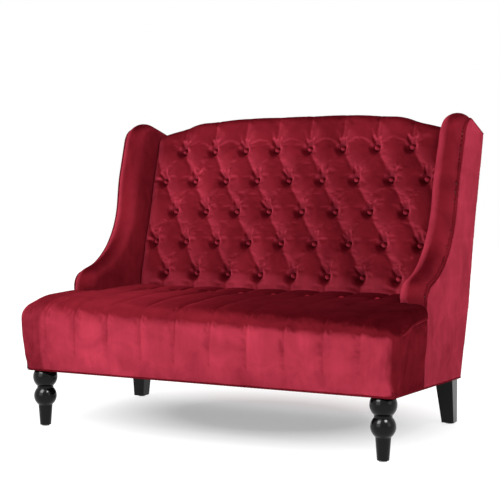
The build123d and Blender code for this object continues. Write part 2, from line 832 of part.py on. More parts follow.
def base_z(y):
    """Height of the bottom of the frame."""
    return base_front_z - (y - front_y) * base_drop / base_depth


def leg_bolt_hole(x, y, diameter):
    """Hole for the threaded insert of a leg, from the bottom of the frame up."""
    low = base_z(y) - insert_length
    return Pos(x, y, low) * Cylinder(diameter / 2, 2 * insert_length + 2 * bolt_diameter,
                                     align=(Align.CENTER, Align.CENTER, Align.MIN))


def glide_pin_hole(x, y):
    return Pos(x, y, glide_height) * Cylinder(glide_pin_radius + clearance / 2, glide_pin_length,
                                              align=(Align.CENTER, Align.CENTER, Align.MIN))


def leg_bore(x, y):
    """Hole for the hanger bolt in the top of a leg."""
    top = base_z(y)
    return Pos(x, y, top - bolt_in_leg - clearance) * Cylinder(
        bolt_diameter / 2 + clearance / 2, reach, align=(Align.CENTER, Align.CENTER, Align.MIN))


def ball_edges(radius, centre_z, z0, z1):
    """Points of a ball's outline between two heights, its widest point in the middle."""
    r0 = (radius ** 2 - (z0 - centre_z) ** 2) ** 0.5
    r1 = (radius ** 2 - (z1 - centre_z) ** 2) ** 0.5
    return ThreePointArc((r0, z0), (radius, centre_z), (r1, z1))


def front_leg():
    """Turned leg: two balls over a tapered foot."""
    upper, lower = upper_ball / 2, lower_ball / 2
    lower_start = lower_ball_z - (lower ** 2 - (taper_top / 2 + foot_flare) ** 2) ** 0.5
    neck_low = lower_ball_z + (lower ** 2 - (leg_neck / 2) ** 2) ** 0.5
    neck_high = upper_ball_z - (upper ** 2 - (leg_neck / 2) ** 2) ** 0.5
    upper_end = upper_ball_z + (upper ** 2 - (leg_collar / 2) ** 2) ** 0.5
    top = base_front_z + foot_flare
    outline = [Line((0, glide_height), (taper_foot / 2, glide_height)),
               Line((taper_foot / 2, glide_height), (taper_top / 2, taper_top_z)),
               Line((taper_top / 2, taper_top_z), (taper_top / 2 + foot_flare, lower_start)),
               ThreePointArc((taper_top / 2 + foot_flare, lower_start), (lower, lower_ball_z),
                             (leg_neck / 2, neck_low)),
               Line((leg_neck / 2, neck_low), (leg_neck / 2, neck_high)),
               ThreePointArc((leg_neck / 2, neck_high), (upper, upper_ball_z),
                             (leg_collar / 2, upper_end)),
               Line((leg_collar / 2, upper_end), (leg_collar / 2, top)),
               Line((leg_collar / 2, top), (0, top)),
               Line((0, top), (0, glide_height))]
    turned = revolve(make_face(Plane.XZ * Wire(outline)), Axis.Z)
    x, y = front_leg_axis()
    leg = (Pos(x, y, 0) * turned) - above_base()
    return leg - leg_bore(x, y) - glide_pin_hole(x, y)


def above_base():
    """Everything over the sloping bottom of the frame."""
    return base_plane.location * block(-reach, reach, -reach, reach, 0, reach)


def rear_leg():
    """Square leg, tapered on its inner and front faces."""
    x, y = rear_leg_axis()
    outer, rear = x + rear_leg_top / 2, y + rear_leg_top / 2
    top_z = base_front_z
    growth = (top_z - glide_height) / (base_z(y) - glide_height)
    wide = rear_leg_foot + (rear_leg_top - rear_leg_foot) * growth
    sections = []
    for z, size in ((glide_height, rear_leg_foot), (top_z, wide)):
        square = Rectangle(size, size)
        sections.append(Pos(outer - size / 2, rear - size / 2, z) * square)
    leg = loft(sections, ruled=True) - above_base()
    foot = outer - rear_leg_foot / 2, rear - rear_leg_foot / 2
    return leg - leg_bore(x, y) - glide_pin_hole(*foot)


def glide_spots():
    x, y = rear_leg_axis()
    shift = (rear_leg_top - rear_leg_foot) / 2
    right = [front_leg_axis(), (x + shift, y + shift)]
    return right + [(-x, y) for x, y in right]


def leg_glides():
    """Nylon glides, each with the pin that holds it in the leg."""
    disc = Cylinder(glide_diameter / 2, glide_height, align=(Align.CENTER, Align.CENTER, Align.MIN))
    pin = Cylinder(glide_pin_radius, glide_pin_length - clearance,
                   align=(Align.CENTER, Align.CENTER, Align.MIN))
    glide = disc + Pos(0, 0, glide_height) * pin
    return Compound([Pos(x, y, 0) * glide for x, y in glide_spots()])


def leg_hardware_spots():
    right = [front_leg_axis(), rear_leg_axis()]
    return right + [(-x, y) for x, y in right]


def leg_bolts():
    """Hanger bolts from the legs into the inserts of the frame."""
    bolts = []
    for x, y in leg_hardware_spots():
        low = base_z(y) - bolt_in_leg
        bolts.append(Pos(x, y, low) * Cylinder(bolt_diameter / 2, bolt_in_leg + insert_length,
                                               align=(Align.CENTER, Align.CENTER, Align.MIN)))
    return Compound(bolts)


def leg_inserts():
    """Threaded inserts in the corner posts and the rear uprights."""
    inserts = []
    for x, y in leg_hardware_spots():
        ring = Cylinder(insert_diameter / 2, insert_length + bolt_diameter,
                        align=(Align.CENTER, Align.CENTER, Align.MIN))
        ring -= Cylinder(bolt_diameter / 2 + clearance / 2, 3 * insert_length)
        inserts.append((Pos(x, y, base_z(y) - bolt_diameter / 2) * ring) - below_base())
    return Compound(inserts)


def wing_bolts():
    right = [wing_bolt_cut(spot, 0.0) for spot in wing_bolt_spots()]
    return Compound(right + [bolt.mirror(Plane.YZ) for bolt in right])


# ---------------------------------------------------------------- the settee
def front_rail():
    half = side_x(base_front_z - base_drop, corner_post + outside_thickness)
    return base_member(-half, half, frame_front_y, frame_front_y + rail_thickness)


def rear_rail():
    half = side_x(base_front_z - base_drop, wing_thickness)
    rear = foot_y - outside_thickness
    return base_member(-half, half, rear - rail_thickness, rear,
                       z1=base_front_z - base_drop + rear_rail_height)


def deck_rail():
    half = side_x(base_front_z - base_drop, post_side)
    return base_member(-half, half, deck_rail_y, deck_rail_y + rail_thickness,
                       rail_top_z - deck_rail_height)


def centre_stretcher():
    half = rail_thickness
    return base_member(-half, half, frame_front_y + rail_thickness,
                       foot_y - outside_thickness - rail_thickness,
                       z1=base_front_z + stretcher_height)


def save_frame():
    save(front_rail(), "front_rail")
    save(rear_rail(), "rear_rail")
    save(deck_rail(), "deck_rail")
    save(centre_stretcher(), "centre_stretcher")
    save_pair(front_corner_post(), "front_corner_post")
    save_pair(side_rail(), "side_rail")
    save_pair(wing_frame(), "wing_frame")
    save_pair(back_post(), "back_post")
    save(back_top_rail(), "back_top_rail")
    save(back_lower_rail(), "back_lower_rail")
    save(back_slats(), "back_slats")
    save(wing_bolts(), "wing_bolts")


def save_seat():
    save(seat_springs(), "seat_springs")
    save(spring_clips(), "spring_clips")
    save(spring_insulator(), "spring_insulator")
    save(seat_foam(), "seat_foam")
    save(seat_cover(), "seat_cover")
    save_pair(seat_boxing(), "seat_boxing")
    save(seat_buttons(), "seat_buttons")
    save(seat_button_twine(), "seat_button_twine")


def save_back():
    save(back_layer(-cover_depth - back_foam_depth, board_back), "back_board")
    save(back_layer(-cover_depth, cover_depth + back_foam_depth), "back_foam")
    save(back_cover(), "back_cover")
    save(back_buttons(), "back_buttons")
    save(back_button_twine(), "back_button_twine")
    save(outside_back_panel(), "outside_back_panel")


def save_wings():
    save_pair(wing_foam(), "wing_foam")
    save_pair(wing_inner_cover(), "wing_inner_cover")
    save_pair(wing_roll(), "wing_roll")
    save_pair(wing_welt(), "wing_welt")
    save_pair(outside_wing_panel(), "outside_wing_panel")


def save_legs():
    save_pair(front_leg(), "front_leg")
    save_pair(rear_leg(), "rear_leg")
    save(leg_glides(), "leg_glides")
    save(leg_bolts(), "leg_bolts")
    save(leg_inserts(), "leg_inserts")
    save(base_welt(), "base_welt")
    save(dust_cover(), "dust_cover")


save_frame()
save_seat()
save_back()
save_wings()
save_legs()
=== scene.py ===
from contextlib import contextmanager
from math import cos, hypot, pi, radians, sin, tan
from random import Random

import bmesh
import bpy
import numpy as np
from bpy.props import BoolProperty, FloatProperty, FloatVectorProperty, PointerProperty
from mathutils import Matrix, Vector


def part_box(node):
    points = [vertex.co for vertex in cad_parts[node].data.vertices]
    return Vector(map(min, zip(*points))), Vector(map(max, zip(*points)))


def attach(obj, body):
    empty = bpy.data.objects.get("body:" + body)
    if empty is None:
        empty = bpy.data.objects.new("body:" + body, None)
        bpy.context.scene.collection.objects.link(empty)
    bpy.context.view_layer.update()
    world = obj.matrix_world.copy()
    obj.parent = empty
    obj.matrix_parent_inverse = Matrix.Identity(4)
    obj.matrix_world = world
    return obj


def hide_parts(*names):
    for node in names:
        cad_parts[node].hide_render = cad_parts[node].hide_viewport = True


bl_info = {
    "name": "Tufted Settee",
    "version": (1, 0, 0),
    "blender": (4, 5, 0),
    "location": "3D View > Sidebar > Settee",
    "description": "Upholsters and finishes the packed frame of a high back settee",
    "category": "Object",
}

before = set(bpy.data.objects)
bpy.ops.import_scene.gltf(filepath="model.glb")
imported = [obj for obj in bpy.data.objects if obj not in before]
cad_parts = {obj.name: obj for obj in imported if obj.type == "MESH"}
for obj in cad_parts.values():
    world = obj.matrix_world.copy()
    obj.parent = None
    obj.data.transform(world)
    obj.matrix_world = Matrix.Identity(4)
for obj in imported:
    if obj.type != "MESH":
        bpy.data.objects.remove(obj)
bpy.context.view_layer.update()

# ---------------------------------------------------------------- places of the frame, metres
HALF_BASE = 0.620          # bottom seam of a side
LOW_SEAM_Z = 0.152         # bottom seam at the rear
FRONT_SEAM_Z = 0.188
LEAN = radians(1.7)
FRONT_Y = -0.4175
FRONT_SWELL = 0.020        # of the seat, over its bottom seam
TEE_DEPTH = 0.2745
WING_FRONT_Y = FRONT_Y + TEE_DEPTH + 0.0003
FOOT_Y = FRONT_Y + 0.673
SEAM_SLOPE = (LOW_SEAM_Z - FRONT_SEAM_Z) / (FOOT_Y - FRONT_Y)
REAR_CORNER_Y = 0.4325
REAR_CORNER_Z = 0.953
WING_THICKNESS = 0.084
CLEARANCE = 0.0003

RAKE = radians(18)
BUTTON_PLANE_Y = 0.171
FIRST_ROW_Z = 0.470
ROW_RISE = 0.1146
ROWS = 5
PITCH = 0.125
SHORT_ROW = 8
TOP_ROW = (ROWS - 1) * ROW_RISE
TOP_FADE = (TOP_ROW - 0.020, TOP_ROW + 0.030)  # where the tufts give way to upright pleats
FOOT_FADE = (-0.012, 0.012)
SKIRT = 0.062              # the cover below the lowest row
CREST_TOP = (1.030 - FIRST_ROW_Z) / cos(RAKE) - 0.0035
CREST_REAR = 0.0894        # behind the button plane
LIP = 0.0330               # height of the cover's hem over the outside back
HEM_REAR = CREST_REAR + 0.0020
REAR_SPREAD = 1.045        # share by which the crest widens behind, over the corner posts
CORNER_RISE = 0.012        # of the cover over a corner post, and its bulge to the rear
CORNER_BULGE = 0.0155
INSIDE = 0.014             # inner side of the cover, behind the button plane

SEAT_TOP_Z = 0.424
SEAT_BUTTON_Y = 0.0025
CHANNEL_PITCH = 0.120
CHANNELS = 8
OUTER_CHANNEL_X = 0.530
EDGE_LEFT = 0.018          # rounding of the seat over its sides
EDGE_RIGHT = 0.030
SIDE_STRIP = 0.012         # of the seat's cover, down the side past the rounding
OVERLAP = 0.010            # of that strip over the side face
NET_HALF = 0.63            # half width of the seat's net, which is even up to EVEN_HALF
EVEN_HALF = 0.50
EAR_COLUMNS = 44           # columns of that net beyond a wing
HELD_AT_BUTTON = 0.011     # radius of the cover that a button holds


def given(group):
    """One of the groups of properties of the panel."""
    return getattr(bpy.context.scene, "settee_" + group)


def side_x(z, depth=0.0):
    """X of a plane that lies `depth` inside the right-hand outside face."""
    return HALF_BASE + (z - LOW_SEAM_Z) * tan(LEAN) - depth / cos(LEAN)


def back_half(v):
    """Half width between the wings, v up the back."""
    return side_x(FIRST_ROW_Z + v * cos(RAKE), WING_THICKNESS + 2 * CLEARANCE)


def seam_z(y):
    """Height of the bottom seam along a side."""
    return FRONT_SEAM_Z + (y - FRONT_Y) * SEAM_SLOPE


def back_place(x, v, n):
    """Point x along, v up and n in front of the raked plane of the buttons."""
    y = BUTTON_PLANE_Y + v * sin(RAKE) - n * cos(RAKE)
    z = FIRST_ROW_Z + v * cos(RAKE) + n * sin(RAKE)
    return np.stack([x, y, z], axis=-1)


def side_place(depth, y, z):
    """Point of the right-hand side at its lean, `depth` inside the outside face."""
    z = z - LOW_SEAM_Z
    x = HALF_BASE - depth * cos(LEAN) + z * sin(LEAN)
    return np.stack([x, y + 0 * x, LOW_SEAM_Z + depth * sin(LEAN) + z * cos(LEAN)], axis=-1)


def back_buttons():
    """Places (x, v) of the buttons of the back, the lowest row first."""
    spots = []
    for row in range(ROWS):
        count = SHORT_ROW + row % 2
        spots += [((i - (count - 1) / 2) * PITCH, row * ROW_RISE) for i in range(count)]
    return spots


def seat_buttons():
    """Places (x, y) of the buttons of the seat."""
    return [((i - (CHANNELS - 1) / 2) * CHANNEL_PITCH, SEAT_BUTTON_Y) for i in range(CHANNELS)]


# ---------------------------------------------------------------- curves
def rounded(points, radii, step):
    """Dense points of a path of straight lines whose corners are rounded."""
    path = [np.array(points[0], float)]
    for before, corner, after, radius in zip(points, points[1:], points[2:], radii):
        a, b, c = (np.array(p, float) for p in (before, corner, after))
        u, w = (a - b) / np.linalg.norm(a - b), (c - b) / np.linalg.norm(c - b)
        half = np.arccos(np.clip(u @ w, -1, 1)) / 2
        cut = radius / tan(half)
        centre = b + (u + w) / np.linalg.norm(u + w) * radius / sin(half)
        start, end = b + u * cut - centre, b + w * cut - centre
        sweep = pi - 2 * half
        count = max(2, int(radius * sweep / step))
        for i in range(count + 1):
            share = i / count
            weights = sin((1 - share) * sweep), sin(share * sweep)
            path.append(centre + (start * weights[0] + end * weights[1]) / sin(sweep))
    path.append(np.array(points[-1], float))
    return spread(np.array(path), step)


def spread(path, step):
    """The same path with its points evenly spaced."""
    lengths = np.linalg.norm(np.diff(path, axis=0), axis=1)
    along = np.concatenate([[0], np.cumsum(lengths)])
    even = np.linspace(0, along[-1], max(2, int(along[-1] / step)) + 1)
    return np.stack([np.interp(even, along, path[:, i]) for i in range(path.shape[1])], axis=1)


def unit(rows):
    return rows / np.linalg.norm(rows, axis=1, keepdims=True)


def headings(path):
    """Direction of a path at each of its points."""
    return unit(np.gradient(path, axis=0))


def camel_line():
    """Outline of the crest as (x, v), from the left to the right."""
    shoulder_top = CREST_TOP - 0.0025 - 0.0145
    shoulder_foot = shoulder_top - 0.023
    half = [(HALF_BASE * 1.2, shoulder_foot - 0.070), (0.455, shoulder_foot),
            (0.395, shoulder_top), (0.200, CREST_TOP - 0.0025)]
    points = [(-x, v) for x, v in half] + half[::-1]
    radii = [0.300, 0.200, 1.200]
    return rounded(points, radii + radii[::-1], 0.004)


def wing_line(step):
    """Front edge of a wing as (y, z), from the seat up and over to the rear corner."""
    lift = LOW_SEAM_Z
    nose = (WING_FRONT_Y, 0.468)
    elbow = (WING_FRONT_Y + 0.253, 0.468 + 0.068)
    neck = (elbow[0] + 0.047, 0.803)
    peak = (neck[0] + 0.068, 1.006)
    start = (WING_FRONT_Y, 0.468 - 0.092)
    points = [start, nose, elbow, neck, peak, (REAR_CORNER_Y, REAR_CORNER_Z)]
    path = rounded([(y, z - lift) for y, z in points], [0.046, 0.300, 0.420, 0.068], step)
    return path + np.array([0, lift])


# ---------------------------------------------------------------- meshes
VELVET_CLOTH = {"quality": 5, "mass": 0.3, "tension_stiffness": 12, "compression_stiffness": 12,
                "shear_stiffness": 8, "bending_stiffness": 0.4, "use_pressure": True}


def new_piece(name, mesh):
    """A shown object that rides on the settee."""
    piece = bpy.data.objects.new(name, mesh)
    bpy.context.scene.collection.objects.link(piece)
    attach(piece, "root")
    return piece


def net(rows, closed=False):
    """Vertices and faces of a net of points, rows by columns by 3."""
    count, width = rows.shape[:2]
    faces = []
    for r in range(count if closed else count - 1):
        a, b = r * width, (r + 1) % count * width
        faces += [(a + c, a + c + 1, b + c + 1, b + c) for c in range(width - 1)]
    return rows.reshape(-1, 3), faces


def make_mesh(name, points, faces):
    mesh = bpy.data.meshes.new(name)
    mesh.from_pydata([tuple(p) for p in points], [], faces)
    mesh.validate()
    mesh.shade_smooth()
    return mesh


@contextmanager
def edited(mesh):
    """The mesh in a form that tools can edit, written back at the end."""
    form = bmesh.new()
    form.from_mesh(mesh)
    yield form
    form.to_mesh(mesh)
    form.free()


def recalculated(mesh):
    """The same mesh with every face turned outwards."""
    with edited(mesh) as form:
        bmesh.ops.recalc_face_normals(form, faces=form.faces)
    return mesh


def coordinates(mesh, key="co"):
    flat = np.zeros(len(mesh.vertices) * 3)
    mesh.vertices.foreach_get(key, flat)
    return flat.reshape(-1, 3)


def set_coordinates(mesh, points):
    mesh.vertices.foreach_set("co", np.ascontiguousarray(points).ravel())
    mesh.update()


def normals(mesh):
    return coordinates(mesh, "normal")


def evaluated(piece):
    """Mesh of a piece with its modifiers worked in."""
    graph = bpy.context.evaluated_depsgraph_get()
    return bpy.data.meshes.new_from_object(piece.evaluated_get(graph), depsgraph=graph)


def assign(target, values):
    for key, value in values.items():
        setattr(target, key, value)


def worked(piece, *modifiers):
    """Works modifiers, given as (type, settings), into a piece's mesh."""
    for kind, settings in modifiers:
        assign(piece.modifiers.new(kind.title(), kind), settings)
    mesh = evaluated(piece)
    piece.modifiers.clear()
    old, piece.data = piece.data, mesh
    bpy.data.meshes.remove(old)
    mesh.shade_smooth()


def puffed(piece, strength):
    """Moves a skin out along its normals."""
    worked(piece, ("DISPLACE", {"strength": strength, "mid_level": 0.0}))


def blown_up(piece, pressure, cap, hold=None, spare=0.0, frames=10):
    """Fills a piece like a cover over wadding: cloth under pressure, each point capped."""
    if not given("sizes").simulate:
        return
    start = coordinates(piece.data)
    cloth = piece.modifiers.new("Fill", "CLOTH")
    settings = cloth.settings
    assign(settings, VELVET_CLOTH)
    assign(settings, {"uniform_pressure_force": pressure, "shrink_min": -spare})
    settings.effector_weights.gravity = 0
    assign(cloth.collision_settings, {"use_self_collision": False, "use_collision": False})
    if hold is not None:
        group = piece.vertex_groups.new(name="held")
        for weight in sorted(set(hold.round(2)) - {0}):
            members = np.nonzero(hold.round(2) == weight)[0].tolist()
            group.add(members, float(weight), "REPLACE")
        settings.vertex_group_mass = "held"
    scene = bpy.context.scene
    cloth.point_cache.frame_start, cloth.point_cache.frame_end = 1, frames
    for step in range(1, frames + 1):
        scene.frame_set(step)
    mesh = evaluated(piece)
    moved = coordinates(mesh) - start
    bpy.data.meshes.remove(mesh)
    piece.modifiers.clear()
    piece.vertex_groups.clear()
    scene.frame_set(1)
    length = np.linalg.norm(moved, axis=1, keepdims=True)
    limit = cap * np.tanh(length / cap) / np.maximum(length, 1e-9)
    set_coordinates(piece.data, start + moved * limit)


def padded_copy(name, nodes, voxel, smooth):
    """One soft skin round copies of CAD solids."""
    form = bmesh.new()
    for node in nodes:
        form.from_mesh(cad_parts[node].data)
    mesh = bpy.data.meshes.new(name)
    form.to_mesh(mesh)
    form.free()
    piece = new_piece(name, mesh)
    worked(piece, ("REMESH", {"mode": "VOXEL", "voxel_size": voxel}),
           ("SMOOTH", {"factor": 0.5, "iterations": smooth}))
    return piece


def covers(piece, slot, *nodes, fill=None):
    """Hides the CAD nodes that a piece stands for."""
    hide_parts(*nodes)


def finish_with(piece, material):
    piece.data.materials.clear()
    piece.data.materials.append(material)


# ---------------------------------------------------------------- painted light and shade by facing, for the lay of the pile
# (ramp place from facing against the shade axis at 0 to along it at 1, tone): painted light to
# painted shade
TO_LEFT = (-1.0, 0.0, 0.0)
DARK_END_X = 0.548         # left of here the seat's end is darker
SHADE_AXIS = (0.45, 0.0, 0.89)
FACING_SHADE = [(0.00, "bright"), (0.46, "bright"), (0.64, "middle"), (0.84, "deep"), (1.00, "deep")]
FLAT_PILE = [(0.00, "middle"), (1.00, "middle")]
WING_FACING_SHADE = [(0.00, "bright"), (0.36, "middle"), (0.76, "middle"), (0.92, "deep"),
             (1.00, "deep")]
SEAT_SHADE_AXIS = (0.60, 0.0, 0.80)
SEAT_FACING_SHADE = [(0.00, "bright"), (0.50, "bright"), (0.64, "middle"), (0.76, "middle"),
             (0.89, "deep"), (1.00, "deep")]


# ---------------------------------------------------------------- shader maths
class Value:
    """A socket of a node tree. Arithmetic on it adds Math nodes."""

    def __init__(self, nodes, socket):
        self.nodes = nodes
        self.socket = socket

    def math(self, operation, *others):
        return self.nodes.add("ShaderNodeMath", {"operation": operation},
                              dict(enumerate((self,) + others)))

    def clamped(self, low=0.0):
        return self.math("MAXIMUM", low).math("MINIMUM", 1.0)

    def __add__(self, other):
        return self.math("ADD", other)

    def __mul__(self, other):
        return self.math("MULTIPLY", other)

    def __sub__(self, other):
        return self.math("SUBTRACT", other)

    def __rsub__(self, other):
        return self.nodes.add("ShaderNodeMath", {"operation": "SUBTRACT"}, {0: other, 1: self})

    def __truediv__(self, other):
        return self.math("DIVIDE", other)

    __radd__ = __add__


class Nodes:
    """The node tree of one finish."""

    def __init__(self, owner):
        owner.use_nodes = True
        self.owner, self.tree = owner, owner.node_tree
        self.tree.nodes.clear()

    def add(self, kind, settings=None, inputs=None, output=0):
        """Adds a node: its settings first, then the values or links of its sockets."""
        node = self.tree.nodes.new(kind)
        assign(node, settings or {})
        for key, value in (inputs or {}).items():
            if isinstance(value, Value):
                self.tree.links.new(value.socket, node.inputs[key])
            else:
                node.inputs[key].default_value = value
        return Value(self, node.outputs[output]) if len(node.outputs) else None

    def ramp(self, factor, stops):
        """Colour ramp with its stops as (place, colour)."""
        colour = self.add("ShaderNodeValToRGB", None, {"Fac": factor})
        elements = colour.socket.node.color_ramp.elements
        while len(elements) < len(stops):
            elements.new(1.0)
        for element, (place, tone) in zip(elements, stops):
            assign(element, {"position": place, "color": tone})
        return colour

    def place(self, output="Object"):
        return self.add("ShaderNodeTexCoord", None, None, output)

    def dot(self, first, second):
        return self.add("ShaderNodeVectorMath", {"operation": "DOT_PRODUCT"},
                        {0: first, 1: second}, 1)

    def seen_by_eye(self):
        """1 for what the camera sees, also in a mirror or through a pane."""
        rays = [self.add("ShaderNodeLightPath", None, None, f"Is {kind} Ray")
                for kind in ("Camera", "Glossy", "Transmission")]
        return (rays[0] + rays[1] + rays[2]).math("MINIMUM", 1.0)

    def noise(self, vector, scale, detail=2.0, roughness=0.5, distortion=0.0):
        inputs = {"Vector": vector, "Scale": scale, "Detail": detail, "Roughness": roughness,
                  "Distortion": distortion}
        return self.add("ShaderNodeTexNoise", None, inputs)

    def stretched(self, vector, scale, turn=(0.0, 0.0, 0.0)):
        """The place stretched along the axes, after a turn."""
        inputs = {"Vector": vector, "Rotation": turn}
        turned = self.add("ShaderNodeMapping", None, inputs) if any(turn) else vector
        return self.add("ShaderNodeMapping", None, {"Vector": turned, "Scale": scale})

    def mixed(self, factor, first, second, blend="MIX"):
        """Colour mix. Socket numbers are those of the colour sockets of a Mix node."""
        settings = {"data_type": "RGBA", "blend_type": blend}
        return self.add("ShaderNodeMix", settings, {0: factor, 6: first, 7: second}, 2)

    def bump(self, height, distance, strength=1.0, normal=None):
        inputs = {"Height": height, "Distance": distance, "Strength": strength}
        if normal is not None:
            inputs["Normal"] = normal
        return self.add("ShaderNodeBump", None, inputs)

    def finish(self, colour, roughness, normal, more=None):
        """Ends a material with one shader. `more` names further sockets of it."""
        inputs = {"Base Color": colour, "Roughness": roughness, "Normal": normal, **(more or {})}
        shader = self.add("ShaderNodeBsdfPrincipled", None, inputs)
        return self.output(shader)

    def output(self, shader):
        self.add("ShaderNodeOutputMaterial", None, {"Surface": shader})
        return self.owner


def new_material(name):
    return Nodes(bpy.data.materials.new(name))


def shaded(colour, factor):
    """A colour times a number."""
    return tuple(min(1.0, c * factor) for c in colour[:3]) + (1.0,)


def velvet(name, level=1.0, grain=(1.0, 1.0, 0.12), stops=None, lit=0.0, sweep=(0.0, 0.0, 0.0),
           top_shade_sweep=(0.0, 0.0, 0.0), shade_axis=(0.0, 0.0, 1.0), dark_end=0.0):
    """Cut velvet painted lighter and darker by how each face turns, with brush marks and fine pile.

    What faces along `shade_axis` gets painted shade and what faces against it painted light,
    standing for the lay of the pile. `level` scales the tones, a lighter or darker copy of one
    velvet for each piece. `lit` paints light on what faces left, `sweep` is how the tone falls
    along each axis as painted light falling off, `top_shade_sweep` the same as painted shade on
    what faces up, and `dark_end` darkens the left end of the seat.
    """
    colours = given("colours")
    nodes = new_material(name)
    place, facing = nodes.place(), nodes.place("Normal")
    along, left = nodes.dot(facing, shade_axis), nodes.dot(facing, TO_LEFT)
    level_part = nodes.add("ShaderNodeSeparateXYZ", None, {"Vector": facing}, "Z")
    # painted shade on what faces up, deepening along top_shade_sweep
    top_shade = level_part.math("MAXIMUM", 0.0) * nodes.dot(place, top_shade_sweep)
    # bright, middle and deep tones of one velvet, scaled by level for each piece, for painted light
    # and shade
    tones = {"bright": shaded(colours.bright, level), "middle": shaded(colours.middle, level),
             "deep": shaded(colours.deep, level)}
    ramp = [(share, tones[tone]) for share, tone in stops or FACING_SHADE]
    # tone by facing: painted light on what faces against shade_axis, painted shade on what faces
    # along it and more on top
    base = nodes.ramp(along * 0.5 + 0.5 + top_shade * 0.6, ramp)
    # painted light on what faces left, a tenth of it on what faces right
    turned = ((left - 0.15) * 2.2).clamped() * lit
    other = ((-0.15 - left) * 2.2).clamped() * lit * 0.10
    base = nodes.mixed(turned + other, base, tones["bright"])
    # sweep paints the light falling off along the axes, with the painted shade on top; the seat's
    # left end is darker
    across = nodes.dot(place, sweep) + top_shade
    end = ((nodes.dot(place, TO_LEFT) - DARK_END_X) * 90.0).clamped() * dark_end
    turn = (0.5, 0.35, 0.6)
    patches = nodes.noise(nodes.stretched(place, (1.0, 1.0, 0.8), turn), 3.1, 2.0, 0.5, 0.6)
    brushed = nodes.noise(nodes.stretched(place, (1.0, 1.0, 1.0), turn), 11.0, 4.0, 0.6, 0.8)
    marks = nodes.noise(nodes.stretched(place, grain), 42.0, 2.0, 0.5, 0.4)
    pile = nodes.noise(place, 1400.0, 2.0)
    # patches, brush marks and fine pile are the velvet's own tone; across and end take off the
    # painted falloff and the darker end
    tone = (patches - 0.5) * 0.8 + (brushed - 0.5) * 0.7 + (marks - 0.5) * 0.22
    tone = (tone + (pile - 0.5) * 0.22 + 0.5 - across - end).clamped()
    shade = nodes.mixed(tone, (0.36, 0.26, 0.27, 1.0), (1.64, 1.84, 1.80, 1.0))
    colour = nodes.mixed(1.0, base, shade, "MULTIPLY")
    soft = nodes.bump(brushed + marks * 0.4, 0.0016, 0.3)
    normal = nodes.bump(pile, 0.0004, 0.3, soft)
    return nodes.finish(colour, 0.62 + (pile - 0.5) * 0.2, normal, {
        "Specular IOR Level": 0.0, "IOR": 1.0, "Sheen Weight": 0.07, "Sheen Roughness": 0.35,
        "Sheen Tint": tuple(colours.sheen)})


def lacquer():
    """Black satin lacquer over turned wood."""
    colours = given("colours")
    nodes = new_material("black_lacquer")
    place = nodes.place()
    grain = nodes.noise(nodes.stretched(place, (1.0, 1.0, 0.06)), 260.0, 3.0)
    dust = nodes.noise(place, 34.0, 4.0)
    colour = nodes.mixed(dust * 0.5, tuple(colours.lacquer), (0.004, 0.0038, 0.0036, 1.0))
    return nodes.finish(colour, 0.13 + dust * 0.08, nodes.bump(grain, 0.0002, 0.15), {
        "Specular IOR Level": 0.16, "Coat Weight": 0.02, "Coat Roughness": 0.06})


def raw_wood(name, pale, dark, along):
    """Sawn timber or board, with grain along one axis."""
    nodes = new_material(name)
    place = nodes.place()
    scale = [30.0, 30.0, 30.0]
    scale[along] = 2.0
    fibre = nodes.noise(nodes.stretched(place, tuple(scale)), 4.0, 5.0, 0.6)
    ring = nodes.add("ShaderNodeTexWave", {"wave_type": "RINGS"},
                     {"Vector": nodes.stretched(place, tuple(s / 30 for s in scale)),
                      "Scale": 12.0, "Distortion": 5.0, "Detail": 2.0}, 1)
    colour = nodes.mixed(fibre * 0.6 + ring * 0.4, pale, dark)
    return nodes.finish(colour, 0.62 + fibre * 0.2, nodes.bump(fibre, 0.0006, 0.4))


def wire_steel(name, tint, roughness):
    """Drawn or plated steel with faint scratches."""
    nodes = new_material(name)
    place = nodes.place()
    scratch = nodes.noise(nodes.stretched(place, (1.0, 0.1, 1.0)), 500.0, 3.0)
    stain = nodes.noise(place, 24.0, 3.0)
    colour = nodes.mixed(stain * 0.5, tint, shaded(tint, 0.6))
    return nodes.finish(colour, roughness + scratch * 0.2, nodes.bump(scratch, 0.0002, 0.3),
                        {"Metallic": 1.0})


def woven(name, tint, scale, roughness=0.9):
    """Felt, thin cloth, foam or twine: fine mottled fibres."""
    nodes = new_material(name)
    place = nodes.place()
    fibre = nodes.noise(place, scale, 4.0, 0.7)
    cell = nodes.add("ShaderNodeTexVoronoi", None, {"Vector": place, "Scale": scale * 0.6})
    colour = nodes.mixed(fibre, shaded(tint, 0.65), shaded(tint, 1.2))
    return nodes.finish(colour, roughness, nodes.bump(fibre + cell * 0.5, 0.0008, 0.5))


def nylon():
    """Grey moulded nylon of the glides."""
    nodes = new_material("grey_nylon")
    place = nodes.place()
    scuff = nodes.noise(place, 220.0, 4.0)
    colour = nodes.mixed(scuff, (0.50, 0.50, 0.48, 1), (0.68, 0.68, 0.66, 1))
    return nodes.finish(colour, 0.42 + scuff * 0.2, nodes.bump(scuff, 0.0002, 0.3))


# ---------------------------------------------------------------- tufted back
def smooth_step(value, low, high):
    share = np.clip((value - low) / (high - low), 0, 1)
    return share * share * (3 - 2 * share)


def ridge(distance, width):
    """1 on a line, falling to nothing at a few widths from it."""
    return np.exp(-(distance / width) ** 2)


